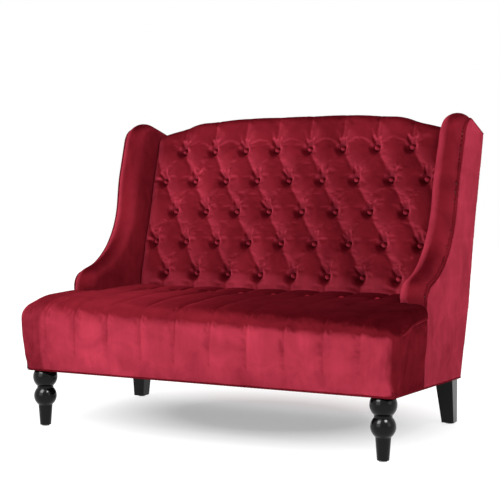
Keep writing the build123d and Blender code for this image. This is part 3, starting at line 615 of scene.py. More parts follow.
def tuft_height(x, v, half):
    """Front of the tufted cover over the plane of the buttons."""
    sizes = given("sizes")
    across, up = (x - PITCH / 2) / (PITCH / 2), v / ROW_RISE
    first, second = (across + up) / 2, (up - across) / 2
    span = PITCH * ROW_RISE / hypot(PITCH / 2, ROW_RISE)
    to_first = np.abs(first - np.round(first)) * span
    to_second = np.abs(second - np.round(second)) * span
    swell = np.abs(np.sin(pi * first) * np.sin(pi * second)) ** 0.85
    folds = np.maximum(ridge(to_first, sizes.fold_width), ridge(to_second, sizes.fold_width))
    above = smooth_step(v, *TOP_FADE)
    tufted = smooth_step(v, *FOOT_FADE) * (1 - above)
    below = 1 - smooth_step(v, *FOOT_FADE)
    column = np.abs(x / PITCH + 0.5) % 1.0
    beside = np.minimum(column, 1 - column) * PITCH
    pleat_width, pleat_depth = 0.006, 0.0012
    pleat = ridge(beside, pleat_width) * (above * pleat_depth + below * pleat_depth)
    crown = tufted * (swell * sizes.puff - sizes.fold_depth * folds)
    panel = smooth_step(beside, 0.0, PITCH / 2) * sizes.puff * (above * 0.6 + below)
    height = sizes.tuft_rise - sizes.puff + crown + panel - pleat
    skirt_fall, side_pull, edge_rise, edge_width = 0.010, 0.004, 0.008, 0.008
    height = height - skirt_fall * below * smooth_step(-v, 0.0, SKIRT)
    beyond_buttons = smooth_step(np.abs(x), 0.490, 0.515)
    for row in range(1, ROWS, 2):
        height = height - side_pull * ridge(v - row * ROW_RISE, 0.006) * beyond_buttons
    edge = half - np.abs(x)
    height = height - (height - edge_rise) * np.exp(-edge / edge_width)
    return dimpled(height, x, v)


def dimpled(height, x, v):
    """Draws the cover in to each button: pleats fan out above it, a short hollow lies round it."""
    sizes = given("sizes")
    chance = Random(11)
    floor = 0.003
    for button_x, button_v in back_buttons():
        turn = chance.uniform(-0.25, 0.25)
        count = chance.choice((2, 3, 3))
        dx, dv = x - button_x, v - button_v
        near = (np.abs(dx) < 0.07) & (np.abs(dv) < 0.08)
        dx, dv = dx[near], dv[near]
        radius, angle = np.hypot(dx, dv), np.arctan2(dx, dv)
        reach = 0.006 + 0 * radius
        for number in range(count):
            lean = sizes.fan_spread * (2 * number / (count - 1) - 1) + turn
            lean = lean + chance.uniform(-0.10, 0.10)
            length = sizes.fan_height * chance.uniform(0.70, 1.20)
            ray = ridge(angle - lean, chance.uniform(0.15, 0.25))
            reach = np.maximum(reach, 0.006 + length * ray)
        reach = np.maximum(reach, 0.014 * np.cos(np.clip(angle - turn, -1.2, 1.2)))
        fan = np.clip(1 - (radius - 0.010) / reach, 0, 1) ** 1.15
        fan = fan * smooth_step(dv, -0.006, 0.004)
        down = np.where(dv > -0.003, 0.012, sizes.hollow_height)
        hollow = ((dx + 0.0015) / sizes.hollow_width) ** 2 + ((dv + 0.003) / down) ** 2
        pull = np.maximum(fan, np.exp(-hollow ** 1.6))
        height[near] = floor + (height[near] - floor) * (1 - pull)
    return height


def back_rows():
    """Net of the whole cover: front, over the crest, the hem behind and the inner side."""
    step = given("sizes").mesh_step
    rounding, rear_round, crown_rise = 0.028, 0.010, 0.004
    notch_depth, notch_width = 0.0002, 0.008
    across = np.linspace(-1, 1, int(2 * 0.559 / step) + 1)
    count = int((CREST_TOP - rounding + SKIRT) / step)
    share = np.linspace(0, 1, count)[:, None]
    line = camel_line()
    width = side_x(FIRST_ROW_Z + CREST_TOP * cos(RAKE) * 0.9, WING_THICKNESS + 2 * CLEARANCE)
    crest = np.interp(across * width, line[:, 0], line[:, 1])[None, :]
    v = -SKIRT + (crest - rounding + SKIRT) * share
    half = back_half(v)
    x = across[None, :] * half
    height = tuft_height(x, v, half)
    rows = [back_place(x, v, height)]
    last_x, front = x[-1], height[-1]
    column = np.abs(last_x / PITCH - np.round(last_x / PITCH - 0.5) - 0.5) * PITCH
    notch = notch_depth * ridge(column, notch_width)
    for turn in np.linspace(0, pi / 2, 10)[1:]:
        rise = crest[0] - rounding * (1 - sin(turn)) - notch * sin(turn)
        depth = front - rounding * (1 - cos(turn))
        rows.append(back_place(last_x, rise, depth)[None])
    start = front - rounding
    corner = smooth_step(np.abs(last_x), 0.526, 0.534)  # over the corner posts
    for along in np.linspace(0, 1, 18)[1:]:
        depth = start + (-HEM_REAR + rear_round - start) * along
        crown = crown_rise * sin(pi * along)
        fade = notch * (1 - 0.6 * along)
        behind = smooth_step(along, 0.35, 0.60)
        spread_x = last_x * (1 + (REAR_SPREAD - 1) * behind)
        rise = crest[0] + crown - fade + CORNER_RISE * behind * corner
        rows.append(back_place(spread_x, rise, depth - CORNER_BULGE * behind * corner)[None])
    crest = crest + CORNER_RISE * corner
    rear = HEM_REAR + CORNER_BULGE * corner
    last_x = last_x * REAR_SPREAD
    for turn in np.linspace(0, pi / 2, 5)[1:]:
        rise = crest[0] - rear_round * (1 - cos(turn))
        depth = -rear + rear_round * (1 - sin(turn))
        rows.append(back_place(last_x, rise, depth + 0 * rise)[None])
    rows.append(back_place(last_x, crest[0] - LIP, -rear)[None])
    for share in (0.5, 1.0):
        depth = -rear + (rear - INSIDE) * share
        rows.append(back_place(last_x, crest[0] - LIP - 0.0002, depth + 0 * last_x)[None])
    for share in np.linspace(1, 0, 14)[1:]:
        level = -SKIRT + (crest[0] - LIP + SKIRT) * share
        rows.append(back_place(across * back_half(level), level, -INSIDE + 0 * level)[None])
    return np.concatenate(rows), count


def make_tufted_back():
    rows, front_rows = back_rows()
    points, faces = net(rows, closed=True)
    count, width = rows.shape[:2]
    faces.append(tuple(r * width for r in range(count)))
    faces.append(tuple(r * width + width - 1 for r in reversed(range(count))))
    piece = new_piece("tufted_back", recalculated(make_mesh("tufted_back", points, faces)))
    row, column = np.divmod(np.arange(count * width), width)
    held = np.zeros(count * width)
    over_crest = 26            # rows from the front's last to the rear edge of the crest
    held[(row == 0) | (row > front_rows + over_crest)] = 1.0
    held[(column == 0) | (column == width - 1)] = 1.0
    for button_x, button_v in back_buttons():
        spot = back_place(np.array(button_x), np.array(button_v), np.array(0.0))
        held[np.linalg.norm(points - spot, axis=1) < HELD_AT_BUTTON] = 1.0
        above = back_place(np.array(button_x), np.array(button_v + 0.018), np.array(0.018))
        held[np.linalg.norm(points - above, axis=1) < 0.021] = 1.0
    sizes = given("sizes")
    blown_up(piece, 1.2, sizes.cloth_cap, held, spare=0.006)
    # painted light falls off to the right and down the back, with painted light and shade by facing
    finish_with(piece, velvet("velvet_back", 0.80, sweep=(0.16, 0.0, -0.15), shade_axis=SHADE_AXIS))
    covers(piece, "velvet", "back_cover", fill=0.7)


# ---------------------------------------------------------------- covered buttons
def button_form(chance, radius=0.0104, rise=0.018):
    """Points and faces of one covered button with gathers at its rim."""
    rings = [(0.34, 0.0), (0.62, 0.18), (0.93, 0.36), (1.0, 0.50), (0.96, 0.64), (0.84, 0.78),
             (0.64, 0.90), (0.38, 0.975), (0.14, 1.0)]
    around = 36
    angles = np.linspace(0, 2 * pi, around, endpoint=False)
    phase, sway = chance.uniform(0, 6), chance.uniform(0.02, 0.05)
    points = []
    for share, height in rings:
        fold = 1 + (0.025 * np.cos(12 * angles + phase) + sway * np.cos(2 * angles)) * (
            1 - height) * 1.6
        ring = radius * share * fold
        points.append(np.stack([ring * np.cos(angles), ring * np.sin(angles),
                                rise * height + 0 * angles], axis=-1))
    rows = np.array(points)
    rows = np.concatenate([rows, rows[:, :1]], axis=1)
    flat, faces = net(rows)
    faces.append(tuple(len(flat) - around - 1 + i for i in range(around)))
    return flat, faces


def buttons_piece(name, places, node, material):
    """All buttons of one panel. `places` maps points of a button to each place."""
    chance = Random(5)
    all_points, all_faces, start = [], [], 0
    for place in places:
        points, faces = button_form(chance)
        tilt = chance.uniform(-0.12, 0.12), chance.uniform(-0.16, 0.10)
        points = points + np.stack([0 * points[:, 0], 0 * points[:, 0],
                                    points[:, 0] * tilt[0] + points[:, 1] * tilt[1]], axis=1)
        all_points.append(place(points))
        all_faces += [tuple(start + i for i in face) for face in faces]
        start += len(points)
    mesh = recalculated(make_mesh(name, np.concatenate(all_points), all_faces))
    with edited(mesh) as form:
        bmesh.ops.remove_doubles(form, verts=form.verts, dist=0.00002)
    piece = new_piece(name, mesh)
    finish_with(piece, material)
    covers(piece, "velvet", node)


def make_back_buttons():
    places = [lambda p, x=x, v=v: back_place(x + p[:, 0], v + p[:, 1], p[:, 2])
              for x, v in back_buttons()]
    # caps painted lighter and darker by facing, as on the back
    buttons_piece("back_button_caps", places, "back_buttons",
                  velvet("velvet_buttons", 0.85, shade_axis=SHADE_AXIS))


def make_seat_buttons():
    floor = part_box("seat_buttons")[0].z
    places = [lambda p, x=x, y=y: np.stack([x + p[:, 0], y + p[:, 1], floor + p[:, 2]], axis=1)
              for x, y in seat_buttons()]
    buttons_piece("seat_button_caps", places, "seat_buttons",
                  velvet("velvet_seat_buttons", 1.1, stops=FLAT_PILE))


# ---------------------------------------------------------------- channelled seat
def seat_half(y, z):
    """Half width of the full-width part of the seat, swelling out of its side."""
    bulge = 0.002 + 0.009 * smooth_step(z, 0.19, 0.34)
    ahead = 1 - smooth_step(y, WING_FRONT_Y - 0.030, WING_FRONT_Y)
    return side_x(z) + bulge * ahead - 0.004 * (1 - ahead)


def seat_profile(step):
    """Crown line of the seat as (y, z): bottom seam, front, rounded edge, top to the back."""
    swell = FRONT_Y - FRONT_SWELL
    points = [(FRONT_Y - 0.002, FRONT_SEAM_Z - 0.003), (swell + 0.004, 0.225), (swell, 0.290),
              (swell, 0.400), (-0.325, 0.4155), (WING_FRONT_Y, SEAT_TOP_Z),
              (SEAT_BUTTON_Y, SEAT_TOP_Z + 0.004), (0.134, SEAT_TOP_Z + 0.005),
              (0.1385, 0.395)]
    radii = [0.12, 0.20, 0.056, 0.5, 0.5, 0.5, 0.010]
    return rounded(points, radii, step)


def channel_lines(wide):
    lines = [CHANNEL_PITCH * (i + 0.5) for i in range(CHANNELS // 2)]
    if wide:
        lines.append(OUTER_CHANNEL_X)
    return [-x for x in lines] + lines


def seat_relief(x, y, z, wide):
    """How far the cover is drawn in: sewn channels, puffed panels, dimples at the buttons."""
    sizes = given("sizes")
    chance = Random(3)
    top = smooth_step(z, 0.390, 0.408)
    rear = top * smooth_step(y, -0.16, -0.02)
    relief = np.zeros_like(x)
    for line in channel_lines(wide):
        wander = 0.0012 * np.sin(z * 31 + y * 24 + chance.uniform(0, 6))
        distance = np.abs(x - line - wander)
        seam = ridge(distance, 0.0020 + 0.0035 * rear) * (sizes.seam_depth + 0.0030 * rear)
        swell = np.exp(-distance / (0.020 + 0.010 * rear)) * (0.0009 + 0.0040 * rear)
        relief = relief - seam - swell
    for button_x, button_y in seat_buttons():
        dx, dy = x - button_x, y - button_y
        pull = np.exp(-((dx / 0.022) ** 2 + (dy / 0.030) ** 2)) * top
        relief = relief - pull * 0.013
    return relief


def seat_net(profile, columns, first, last, wide):
    """Net of the seat between two points of its profile."""
    part = profile[first:last + 1]
    y, z = part[:, :1], part[:, 1:]
    run = headings(profile)[first:last + 1]
    out_y, out_z = -run[:, 1:], run[:, :1]
    x = columns[None, :] + 0 * y
    if wide:
        x, fall = over_the_side(x, seat_half(y, z))
        droop = 0.011 * smooth_step(np.abs(x), 0.47, 0.63) * smooth_step(z, 0.33, 0.40)
        fall = fall + droop * smooth_step(-y, 0.28, 0.42) * np.maximum(out_z, 0)
    else:
        half = side_x(z, WING_THICKNESS + CLEARANCE)
        fall = 0.004 * np.exp(-(half - np.abs(x)) / 0.008)
    yy, zz = y + 0 * x, z + 0 * x
    relief = seat_relief(x, yy, zz, wide) - fall
    return np.stack([x, yy + out_y * relief, zz + out_z * relief], axis=-1)


def over_the_side(along, half):
    """X and fall of points that run across the seat, round its edge and down its side."""
    inner, nominal = EVEN_HALF, NET_HALF
    edge = np.where(along < 0, EDGE_LEFT, EDGE_RIGHT)
    reach = np.abs(along)
    flat = inner + (reach - inner) * (half - edge - inner) / (nominal - edge - inner)
    flat = np.where(reach > inner, flat, reach)
    angle = np.clip((reach - (nominal - edge)) / edge, 0, pi / 2)
    x = np.where(angle > 0, half - edge + edge * np.sin(angle), flat)
    beyond = np.maximum(0, reach - (nominal - edge) - edge * pi / 2)
    return np.sign(along) * x, edge * (1 - np.cos(angle)) + beyond


def seat_step():
    return given("sizes").mesh_step * 1.15


def make_seat():
    step = seat_step()
    profile = seat_profile(step)
    border = int(np.argmax(profile[:, 0] >= WING_FRONT_Y - 0.001))
    narrow = side_x(SEAT_TOP_Z, WING_THICKNESS + CLEARANCE)
    inner = np.linspace(-narrow, narrow, int(2 * narrow / step) + 1)
    ends = [NET_HALF - edge + edge * pi / 2 + SIDE_STRIP for edge in (EDGE_LEFT, EDGE_RIGHT)]
    left, right = (np.linspace(narrow, end, EAR_COLUMNS)[1:] for end in ends)
    columns = np.concatenate([-left[::-1], inner, right])
    front = seat_net(profile, columns, 0, border, True)
    rear = seat_net(profile, inner, border, len(profile) - 1, False)
    width, ear = len(columns), len(left)
    points, faces = net(front)
    rear_points, rear_faces = net(rear[1:])
    start = len(points)
    faces += [tuple(start + i for i in face) for face in rear_faces]
    seam = start - width + ear
    faces += [(seam + c, seam + c + 1, start + c + 1, start + c) for c in range(len(inner) - 1)]
    points = np.concatenate([points, rear_points])
    piece = new_piece("seat_cushion", recalculated(make_mesh("seat_cushion", points, faces)))
    if normals(piece.data)[width * (border // 2) + width // 2][2] < 0:
        piece.data.flip_normals()
    held = np.zeros(len(points))
    for line in channel_lines(True):
        held[np.abs(points[:, 0] - line) < 0.0035] = 1.0
    for button_x, button_y in seat_buttons():
        away = np.hypot(points[:, 0] - button_x, points[:, 1] - button_y)
        near = away < HELD_AT_BUTTON
        held[near & (points[:, 2] > 0.38)] = 1.0
    held[:width] = 1.0
    held[start - width:start] = np.maximum(held[start - width:start],
                                           np.where(np.abs(columns) > narrow - 0.002, 1.0, 0.0))
    held[-len(inner) * 2:] = 1.0
    held[:start].reshape(-1, width)[:, :4] = 1.0
    held[:start].reshape(-1, width)[:, -4:] = 1.0
    blown_up(piece, 0.8, 0.0022, held, spare=0.003)
    tucked_under(piece)
    # painted shade on the seat top deepening to the right, under the right wing, and to the rear;
    # painted light and shade by facing; the left end darker
    finish_with(piece, velvet("velvet_seat", 0.86, stops=SEAT_FACING_SHADE, sweep=(0.04, 0.0, 0.0),
                              top_shade_sweep=(0.60, 0.15, 0.0), shade_axis=SEAT_SHADE_AXIS, dark_end=0.26))
    covers(piece, "velvet", "seat_cover", fill=0.8)


def tucked_under(piece):
    """Turns the free edges of the cover in, to its inner side."""
    hem, side_hem, rear_hem = 0.012, 0.008, 0.018
    with edited(piece.data) as form:
        rim = [edge for edge in form.edges if edge.is_boundary]
        grown = bmesh.ops.extrude_edge_only(form, edges=rim)["geom"]
        for vertex in (g for g in grown if isinstance(g, bmesh.types.BMVert)):
            x, y, z = vertex.co
            if z < FRONT_SEAM_Z + 0.01:
                vertex.co.y += hem
                vertex.co.z += 0.0005
            else:
                vertex.co.x -= side_hem if x > 0.53 else -side_hem if x < -0.53 else 0
                vertex.co.z -= rear_hem if abs(x) < 0.56 else 0.002
    piece.data.shade_smooth()


# ---------------------------------------------------------------- sides and rear
def make_wing_pads():
    foot_drop, foot_out = 0.032, 0.002  # the tip of the arm sinks to the seat
    # lit paints light on the faces turned left; painted light and shade by facing
    material = velvet("velvet_wings", 0.88, (1.0, 1.0, 0.2), WING_FACING_SHADE, lit=0.85)
    for side in ("left", "right"):
        nodes = [f"wing_roll_{side}", f"wing_inner_cover_{side}", f"wing_foam_{side}"]
        piece = padded_copy(f"wing_pad_{side}", nodes, 0.005, 5)
        points = coordinates(piece.data)
        foot = smooth_step(-points[:, 1], 0.120, 0.145) * smooth_step(-points[:, 2], -0.440, -0.430)
        points[:, 2] -= foot_drop * foot * (np.abs(points[:, 0]) > 0.575)
        points[:, 0] += foot_out * foot * np.sign(points[:, 0])
        set_coordinates(piece.data, points)
        puffed(piece, 0.0026)
        blown_up(piece, 1.5, 0.004, frames=8)
        worked(piece, ("SUBSURF", {"levels": 1, "render_levels": 1}))
        finish_with(piece, material)
        covers(piece, "velvet", nodes[0], nodes[1], fill=0.8)


def make_boxings():
    """Side faces of the full-width part of the seat, tucked under the edge of its cover."""
    # painted light and shade by facing, as on the seat, falling off a little to the right
    material = velvet("velvet_boxing", 0.86, stops=SEAT_FACING_SHADE, sweep=(0.04, 0.0, 0.0),
                      shade_axis=SEAT_SHADE_AXIS)
    step, height = seat_step(), 0.22
    proud, sunk, front_fall, front_reach = 0.0004, 0.0016, 0.028, 0.055
    for side, sign, edge in (("left", -1, EDGE_LEFT), ("right", 1, EDGE_RIGHT)):
        tuck = edge + SIDE_STRIP - OVERLAP
        front, rear, top = FRONT_Y - FRONT_SWELL + tuck, WING_FRONT_Y + 0.003, 0.414 - tuck
        along = np.linspace(front, rear, int((rear - front) / step) + 1)[:, None]
        share = np.linspace(0, 1, int(height / step))[None, :]
        low = seam_z(along) - 0.002
        ahead = 1 - smooth_step(along, front, front + front_reach)
        z = low + (top - front_fall * ahead - low) * share
        crease = 0.0007 * np.sin(z * 62 + along * 31) * (1 - share) * np.sin(pi * share)
        rim = smooth_step(share, 1 - 0.012 / height, 1)
        rim = rim + smooth_step(-along, -front - 0.010, -front)
        x = seat_half(along, z) + proud + crease - sunk * rim
        rows = np.stack([sign * x, along + 0 * z, z], axis=-1)
        points, faces = net(rows)
        piece = new_piece(f"seat_side_{side}", make_mesh(f"seat_side_{side}", points, faces))
        held = np.zeros(rows.shape[:2])
        held[:4], held[-2:], held[:, :2], held[:, -4:] = 1, 1, 1, 1
        blown_up(piece, 0.8, 0.002, held.ravel(), spare=0.004, frames=8)
        if (normals(piece.data)[len(points) // 2][0] > 0) != (sign > 0):
            piece.data.flip_normals()
        finish_with(piece, material)
        covers(piece, "velvet", f"seat_boxing_{side}", fill=0.6)


def make_outside_panels():
    corner_lift = 0.004        # closes the top edge under the rolls
    # painted light, brighter toward the top of the panels
    material = velvet("velvet_outside", 0.74, (1.0, 1.0, 0.25), sweep=(0.0, 0.0, -0.28))
    names = ("outside_wing_panel_left", "outside_wing_panel_right", "outside_back_panel")
    for node in names:
        piece = padded_copy(node.replace("panel", "cover"), [node], 0.0035, 2)
        puffed(piece, 0.0010)
        points = coordinates(piece.data)
        corner = smooth_step(np.abs(points[:, 0]), 0.545, 0.560)
        points[:, 2] += corner_lift * corner * smooth_step(points[:, 2], 0.930, 0.945)
        set_coordinates(piece.data, points)
        finish_with(piece, material)
        covers(piece, "velvet", node)


def make_dust_cloth():
    """Black cloth under the frame, slack between its stapled edges."""
    low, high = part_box("dust_cover")
    form = bmesh.new()
    form.from_mesh(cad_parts["dust_cover"].data)
    bmesh.ops.triangulate(form, faces=form.faces)
    bmesh.ops.subdivide_edges(form, edges=[e for e in form.edges if e.calc_length() > 0.05],
                              cuts=6, use_grid_fill=True)
    mesh = bpy.data.meshes.new("dust_cloth")
    form.to_mesh(mesh)
    form.free()
    points = coordinates(mesh)
    across = (points[:, 0] - low.x) / (high.x - low.x)
    along = (points[:, 1] - low.y) / (high.y - low.y)
    slack = 0.004
    points[:, 2] -= slack * np.sin(pi * across) * np.sin(pi * along)
    set_coordinates(mesh, points)
    piece = new_piece("dust_cloth", mesh)
    finish_with(piece, woven("black_cloth", (0.022, 0.022, 0.022, 1), 420.0))
    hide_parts("dust_cover")


# ---------------------------------------------------------------- cord round the edges
def tube(path, radius, chance, around=10):
    """Cord along a path of points, its cover slightly uneven."""
    run = headings(path)
    guide = np.array([1.0, 0.0, 0.0])
    side = np.cross(run, guide)
    weak = np.linalg.norm(side, axis=1) < 0.3
    side[weak] = np.cross(run[weak], np.array([0.0, 0.0, 1.0]))
    side = unit(side)
    other = np.cross(run, side)
    angles = np.linspace(0, 2 * pi, around, endpoint=False)
    wave = 1 + 0.05 * np.sin(np.arange(len(path)) * 1.7 + chance.uniform(0, 6))
    ring = (side[:, None] * np.cos(angles)[None, :, None]
            + other[:, None] * np.sin(angles)[None, :, None])
    rows = path[:, None] + ring * radius * wave[:, None, None]
    rows = np.concatenate([rows, rows[:, :1]], axis=1)
    return net(rows)


def cord_piece(name, path, radius, node, material):
    points, faces = tube(path, radius, Random(9))
    mesh = recalculated(make_mesh(name, points, faces))
    piece = new_piece(name, mesh)
    finish_with(piece, material)
    covers(piece, "welt", node)


def make_welts():
    material = velvet("velvet_welt", 0.75, stops=FLAT_PILE)
    radius = 0.0042
    line = wing_line(0.003)
    run = headings(line)
    out = np.stack([-run[:, 1], run[:, 0]], axis=1)
    line = line + out * 0.0022
    line = line[line[:, 1] > 0.388]
    right = side_place(radius + CLEARANCE, line[:, 0], line[:, 1])
    cord_piece("wing_cord_right", right, radius, "wing_welt_right", material)
    cord_piece("wing_cord_left", right * [-1, 1, 1], radius, "wing_welt_left", material)
    radius = 0.0034
    half, rear = HALF_BASE - 0.0020, FOOT_Y - 0.001
    corners = [(-half, rear), (-half, FRONT_Y - 0.002), (half, FRONT_Y - 0.002), (half, rear)]
    flat = rounded(corners, [0.010, 0.010], 0.003)
    z = seam_z(flat[:, 1]) - radius + 0.0016
    path = np.stack([flat[:, 0], flat[:, 1], z], axis=1)
    cord_piece("base_cord", path, radius, "base_welt", material)


# ---------------------------------------------------------------- carried-over nodes
def finish_frame():
    """Gives every CAD node that stays its own finish."""
    black = lacquer()
    timber = raw_wood("frame_timber", (0.62, 0.45, 0.27, 1), (0.46, 0.30, 0.16, 1), 0)
    upright = raw_wood("upright_timber", (0.62, 0.45, 0.27, 1), (0.46, 0.30, 0.16, 1), 2)
    ply = raw_wood("plywood", (0.60, 0.44, 0.27, 1), (0.48, 0.33, 0.19, 1), 1)
    spring = wire_steel("spring_wire", (0.35, 0.36, 0.38, 1), 0.35)
    zinc = wire_steel("zinc_plate", (0.62, 0.63, 0.65, 1), 0.30)
    felt = woven("grey_felt", (0.35, 0.35, 0.36, 1), 500.0)
    foam = woven("cream_foam", (0.80, 0.74, 0.55, 1), 260.0)
    twine = woven("waxed_twine", (0.55, 0.48, 0.34, 1), 700.0, 0.6)
    rules = [("leg_glides", nylon()), ("front_leg", black), ("rear_leg", black),
             ("leg_", zinc), ("wing_bolts", zinc), ("spring_clips", zinc),
             ("seat_springs", spring), ("spring_insulator", felt), ("dust_cover", felt),
             ("wing_frame", ply), ("back_board", ply), ("back_top_rail", ply),
             ("back_post", upright), ("front_corner_post", upright), ("back_slats", upright)]
    for name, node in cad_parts.items():
        found = [material for start, material in rules if name.startswith(start)]
        if "foam" in name:
            found = [foam]
        if "twine" in name:
            found = [twine]
        finish_with(node, found[0] if found else timber)


# ---------------------------------------------------------------- stage
def stage_material(name, colour, reach):
    """Pale matt surface that turns white for the eye away from the settee."""
    nodes = new_material(name)
    place = nodes.place()
    inputs = {"Vector": place, "Location": (0.0, -0.13, 0.0), "Scale": (1.0, 1.3, 1.0)}
    place = nodes.add("ShaderNodeMapping", None, inputs)
    far = nodes.add("ShaderNodeVectorMath", {"operation": "LENGTH"}, {0: place}, 1)
    eye = nodes.seen_by_eye()
    fade = ((far - reach) / reach * 0.42 + 0.26).clamped(0.27)
    matt = nodes.add("ShaderNodeBsdfDiffuse", None, {"Color": colour})
    white = nodes.add("ShaderNodeEmission", None, {"Color": (1, 1, 1, 1), "Strength": 1.2})
    mix = nodes.add("ShaderNodeMixShader", None, {0: eye * fade, 1: matt, 2: white})
    return nodes.output(mix)


def make_floor():
    colours = given("colours")
    size, count = 14.0, 28
    ticks = np.linspace(-size, size, count)
    grid = np.stack(np.meshgrid(ticks, ticks), axis=-1)
    rows = np.concatenate([grid, 0 * grid[..., :1]], axis=-1)
    points, faces = net(rows)
    floor = bpy.data.objects.new("floor", make_mesh("floor", points, faces))
    bpy.context.scene.collection.objects.link(floor)
    finish_with(floor, stage_material("pale_floor", tuple(colours.floor), 0.31))


def make_world():
    """Even studio light, white for the eye and for reflections."""
    nodes = Nodes(bpy.data.worlds.new("studio"))
    bpy.context.scene.world = nodes.owner
    eye = nodes.seen_by_eye()
    level = given("light").world
    light = nodes.add("ShaderNodeBackground", None, {"Color": (1, 1, 1, 1), "Strength": level})
    white = nodes.add("ShaderNodeBackground", None, {"Color": (1, 1, 1, 1), "Strength": 1.0})
    mix = nodes.add("ShaderNodeMixShader", None, {0: eye, 1: light, 2: white})
    nodes.add("ShaderNodeOutputWorld", None, {"Surface": mix})


def softbox(name, place, aim, size, power):
    light = bpy.data.lights.new(name, "AREA")
    light.shape = "RECTANGLE"
    light.size, light.size_y = size
    light.energy = power
    lamp = bpy.data.objects.new(name, light)
    lamp.location = place
    direction = Vector(aim) - Vector(place)
    lamp.rotation_euler = direction.to_track_quat("-Z", "Y").to_euler()
    bpy.context.scene.collection.objects.link(lamp)
    return lamp


def make_lights():
    light = given("light")
    softbox("overhead_box", (-0.4, -0.6, 3.4), (0, 0, 0.3), (3.2, 2.6), light.overhead)
    softbox("front_box", (-1.6, -4.6, 1.5), (0, 0, 0.5), (3.0, 2.2), light.front)
    left, right, legs = (-1.15, -2.95, 2.9), (2.55, -1.6, 3.5), (0, 0, 0.2)
    softbox("left_spark", left, legs, (0.34, 0.34), light.spark)
    softbox("right_spark", right, legs, (0.34, 0.34), light.spark)
    for name, place, size in (("left_gleam", left, 2.0), ("right_gleam", right, 1.4)):
        gleam = softbox(name, place, legs, (size, size), light.spark * 15.0)
        gleam.visible_diffuse = False  # shows in the lacquer only
    softbox("side_box", (4.4, -1.2, 1.8), (0, 0, 0.5), (2.2, 2.4), light.side)


def make_camera():
    """Camera at the photograph's angle."""
    view = given("light")
    camera = bpy.data.cameras.new("camera")
    camera.lens = view.lens
    camera.sensor_width = 36.0
    eye = bpy.data.objects.new("camera", camera)
    eye.location = (1.6105, -3.3276, 0.722)
    eye.rotation_euler = (pi / 2 - view.tilt, 0.0, view.turn)
    bpy.context.scene.collection.objects.link(eye)
    bpy.context.scene.camera = eye


# ---------------------------------------------------------------- properties
def metres(name, text, default, **limits):
    return FloatProperty(name=name, description=text, default=default, unit="LENGTH", **limits)


def rgb(name, text, *colour):
    return FloatVectorProperty(name=name, description=text, subtype="COLOR", size=4, min=0, max=1,
                               default=colour + (1.0,))


def watts(name, text, default):
    return FloatProperty(name=name, description=text, default=default, min=0, unit="POWER")


def arc(name, text, default):
    return FloatProperty(name=name, description=text, default=default, subtype="ANGLE")


class SetteeSizes(bpy.types.PropertyGroup):
    """Sizes of the upholstery."""

    mesh_step: metres("Mesh step", "Spacing of the cover's net", 0.0036, min=0.002, max=0.02)
    tuft_rise: metres("Tuft rise", "Crown of a tuft over its buttons", 0.034)
    puff: metres("Puff", "Roundness of a tuft", 0.0046)
    fold_depth: metres("Fold depth", "Fold between two buttons", 0.0004)
    fold_width: metres("Fold width", "Half width of a fold", 0.007)
    fan_height: metres("Fan height", "Reach of the fan above a button", 0.026)
    fan_spread: arc("Fan spread", "Lean of a fan's outer pleats", 0.38)
    hollow_height: metres("Hollow height", "Hollow below a button", 0.021)
    hollow_width: metres("Hollow width", "Hollow beside a button", 0.0160)
    seam_depth: metres("Seam depth", "Sewn channels of the seat", 0.0013)
    cloth_cap: metres("Cloth cap", "Most that filling moves the cover", 0.003)
    simulate: BoolProperty(name="Fill the covers", description="Run the cloth simulation",
                           default=True)


class SetteeColours(bpy.types.PropertyGroup):
    """Colours of the velvet and the legs."""

    # bright, middle and deep are one velvet in three tones picked by facing: painted light on what
    # faces down and out, painted shade on what faces up
    bright: rgb("Pile facing out", "Brightest velvet", 0.480, 0.038, 0.069)
    middle: rgb("Pile at rest", "Velvet of the back", 0.190, 0.0100, 0.0180)
    deep: rgb("Pile facing up", "Darkest velvet", 0.088, 0.0034, 0.0066)
    sheen: rgb("Sheen", "Tint of the velvet's sheen", 0.80, 0.07, 0.12)
    lacquer: rgb("Lacquer", "Colour of the legs", 0.0012, 0.0012, 0.0012)
    floor: rgb("Floor", "Colour of the floor", 0.90, 0.90, 0.91)


class SetteeLight(bpy.types.PropertyGroup):
    """Light and camera."""

    world: FloatProperty(name="Room light", description="Strength of the even light",
                         default=0.68, min=0)
    overhead: watts("Overhead", "Power of the box above", 18)
    front: watts("Front", "Power of the box in front", 60)
    side: watts("Side", "Power of the box at the right", 30)
    spark: watts("Spark", "Power of the small boxes of the highlights", 17)
    lens: FloatProperty(name="Lens", description="Focal length in millimetres",
                        default=80.58, min=10)
    tilt: arc("Tilt", "How far the camera looks down", 0.0422)
    turn: arc("Turn", "How far the camera stands to the right", 0.4568)


# ---------------------------------------------------------------- operators
class Step:
    """One step of the build, run by its button."""

    def execute(self, context):
        for make in self.makes:
            make()
        return {"FINISHED"}


class SETTEE_OT_back(Step, bpy.types.Operator):
    """Make the tufted back"""
    bl_idname, bl_label = "settee.back", "Tufted back"
    makes = (make_tufted_back,)


class SETTEE_OT_buttons(Step, bpy.types.Operator):
    """Make the covered buttons"""
    bl_idname, bl_label = "settee.buttons", "Buttons"
    makes = (make_back_buttons, make_seat_buttons)


class SETTEE_OT_seat(Step, bpy.types.Operator):
    """Make the channelled seat and its side faces"""
    bl_idname, bl_label = "settee.seat", "Seat"
    makes = (make_seat, make_boxings)


class SETTEE_OT_wings(Step, bpy.types.Operator):
    """Make the padded wings"""
    bl_idname, bl_label = "settee.wings", "Wings"
    makes = (make_wing_pads,)


class SETTEE_OT_outside(Step, bpy.types.Operator):
    """Make the outside panels"""
    bl_idname, bl_label = "settee.outside", "Outside panels"
    makes = (make_outside_panels,)


class SETTEE_OT_cords(Step, bpy.types.Operator):
    """Make the covered cords along the seams"""
    bl_idname, bl_label = "settee.cords", "Cords"
    makes = (make_welts,)


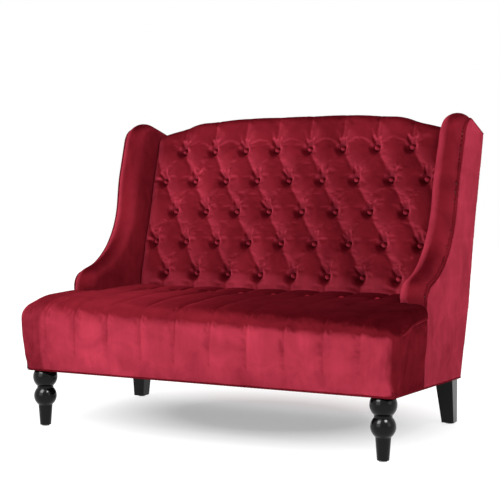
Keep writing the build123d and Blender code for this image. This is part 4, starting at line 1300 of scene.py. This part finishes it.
class SETTEE_OT_frame(Step, bpy.types.Operator):
    """Finish the legs, the frame and the springs"""
    bl_idname, bl_label = "settee.frame", "Frame and legs"
    makes = (finish_frame, make_dust_cloth)


class SETTEE_OT_stage(Step, bpy.types.Operator):
    """Set the floor, the lights and the camera"""
    bl_idname, bl_label = "settee.stage", "Stage"
    makes = (make_floor, make_world, make_lights, make_camera)


OPERATORS = (SETTEE_OT_frame, SETTEE_OT_back, SETTEE_OT_buttons, SETTEE_OT_seat,
             SETTEE_OT_wings, SETTEE_OT_outside, SETTEE_OT_cords, SETTEE_OT_stage)


class SETTEE_PT_panel(bpy.types.Panel):
    """Sizes, colours and steps of the settee"""
    bl_idname = "SETTEE_PT_panel"
    bl_label = "Settee"
    bl_space_type = "VIEW_3D"
    bl_region_type = "UI"
    bl_category = "Settee"

    def draw(self, context):
        for group in (context.scene.settee_sizes, context.scene.settee_colours,
                      context.scene.settee_light):
            for key in group.bl_rna.properties.keys():
                if key not in ("rna_type", "name"):
                    self.layout.prop(group, key)
        for operator in OPERATORS:
            self.layout.operator(operator.bl_idname)


CLASSES = (SetteeSizes, SetteeColours, SetteeLight) + OPERATORS + (SETTEE_PT_panel,)


def register():
    for cls in CLASSES:
        bpy.utils.register_class(cls)
    bpy.types.Scene.settee_sizes = PointerProperty(type=SetteeSizes)
    bpy.types.Scene.settee_colours = PointerProperty(type=SetteeColours)
    bpy.types.Scene.settee_light = PointerProperty(type=SetteeLight)


def unregister():
    del bpy.types.Scene.settee_light
    del bpy.types.Scene.settee_colours
    del bpy.types.Scene.settee_sizes
    for cls in reversed(CLASSES):
        bpy.utils.unregister_class(cls)


def main():
    register()
    bpy.context.scene.view_settings.view_transform = "Standard"
    bpy.ops.settee.frame()
    bpy.ops.settee.back()
    bpy.ops.settee.buttons()
    bpy.ops.settee.seat()
    bpy.ops.settee.wings()
    bpy.ops.settee.outside()
    bpy.ops.settee.cords()
    bpy.ops.settee.stage()


if __name__ == "__main__":
    main()
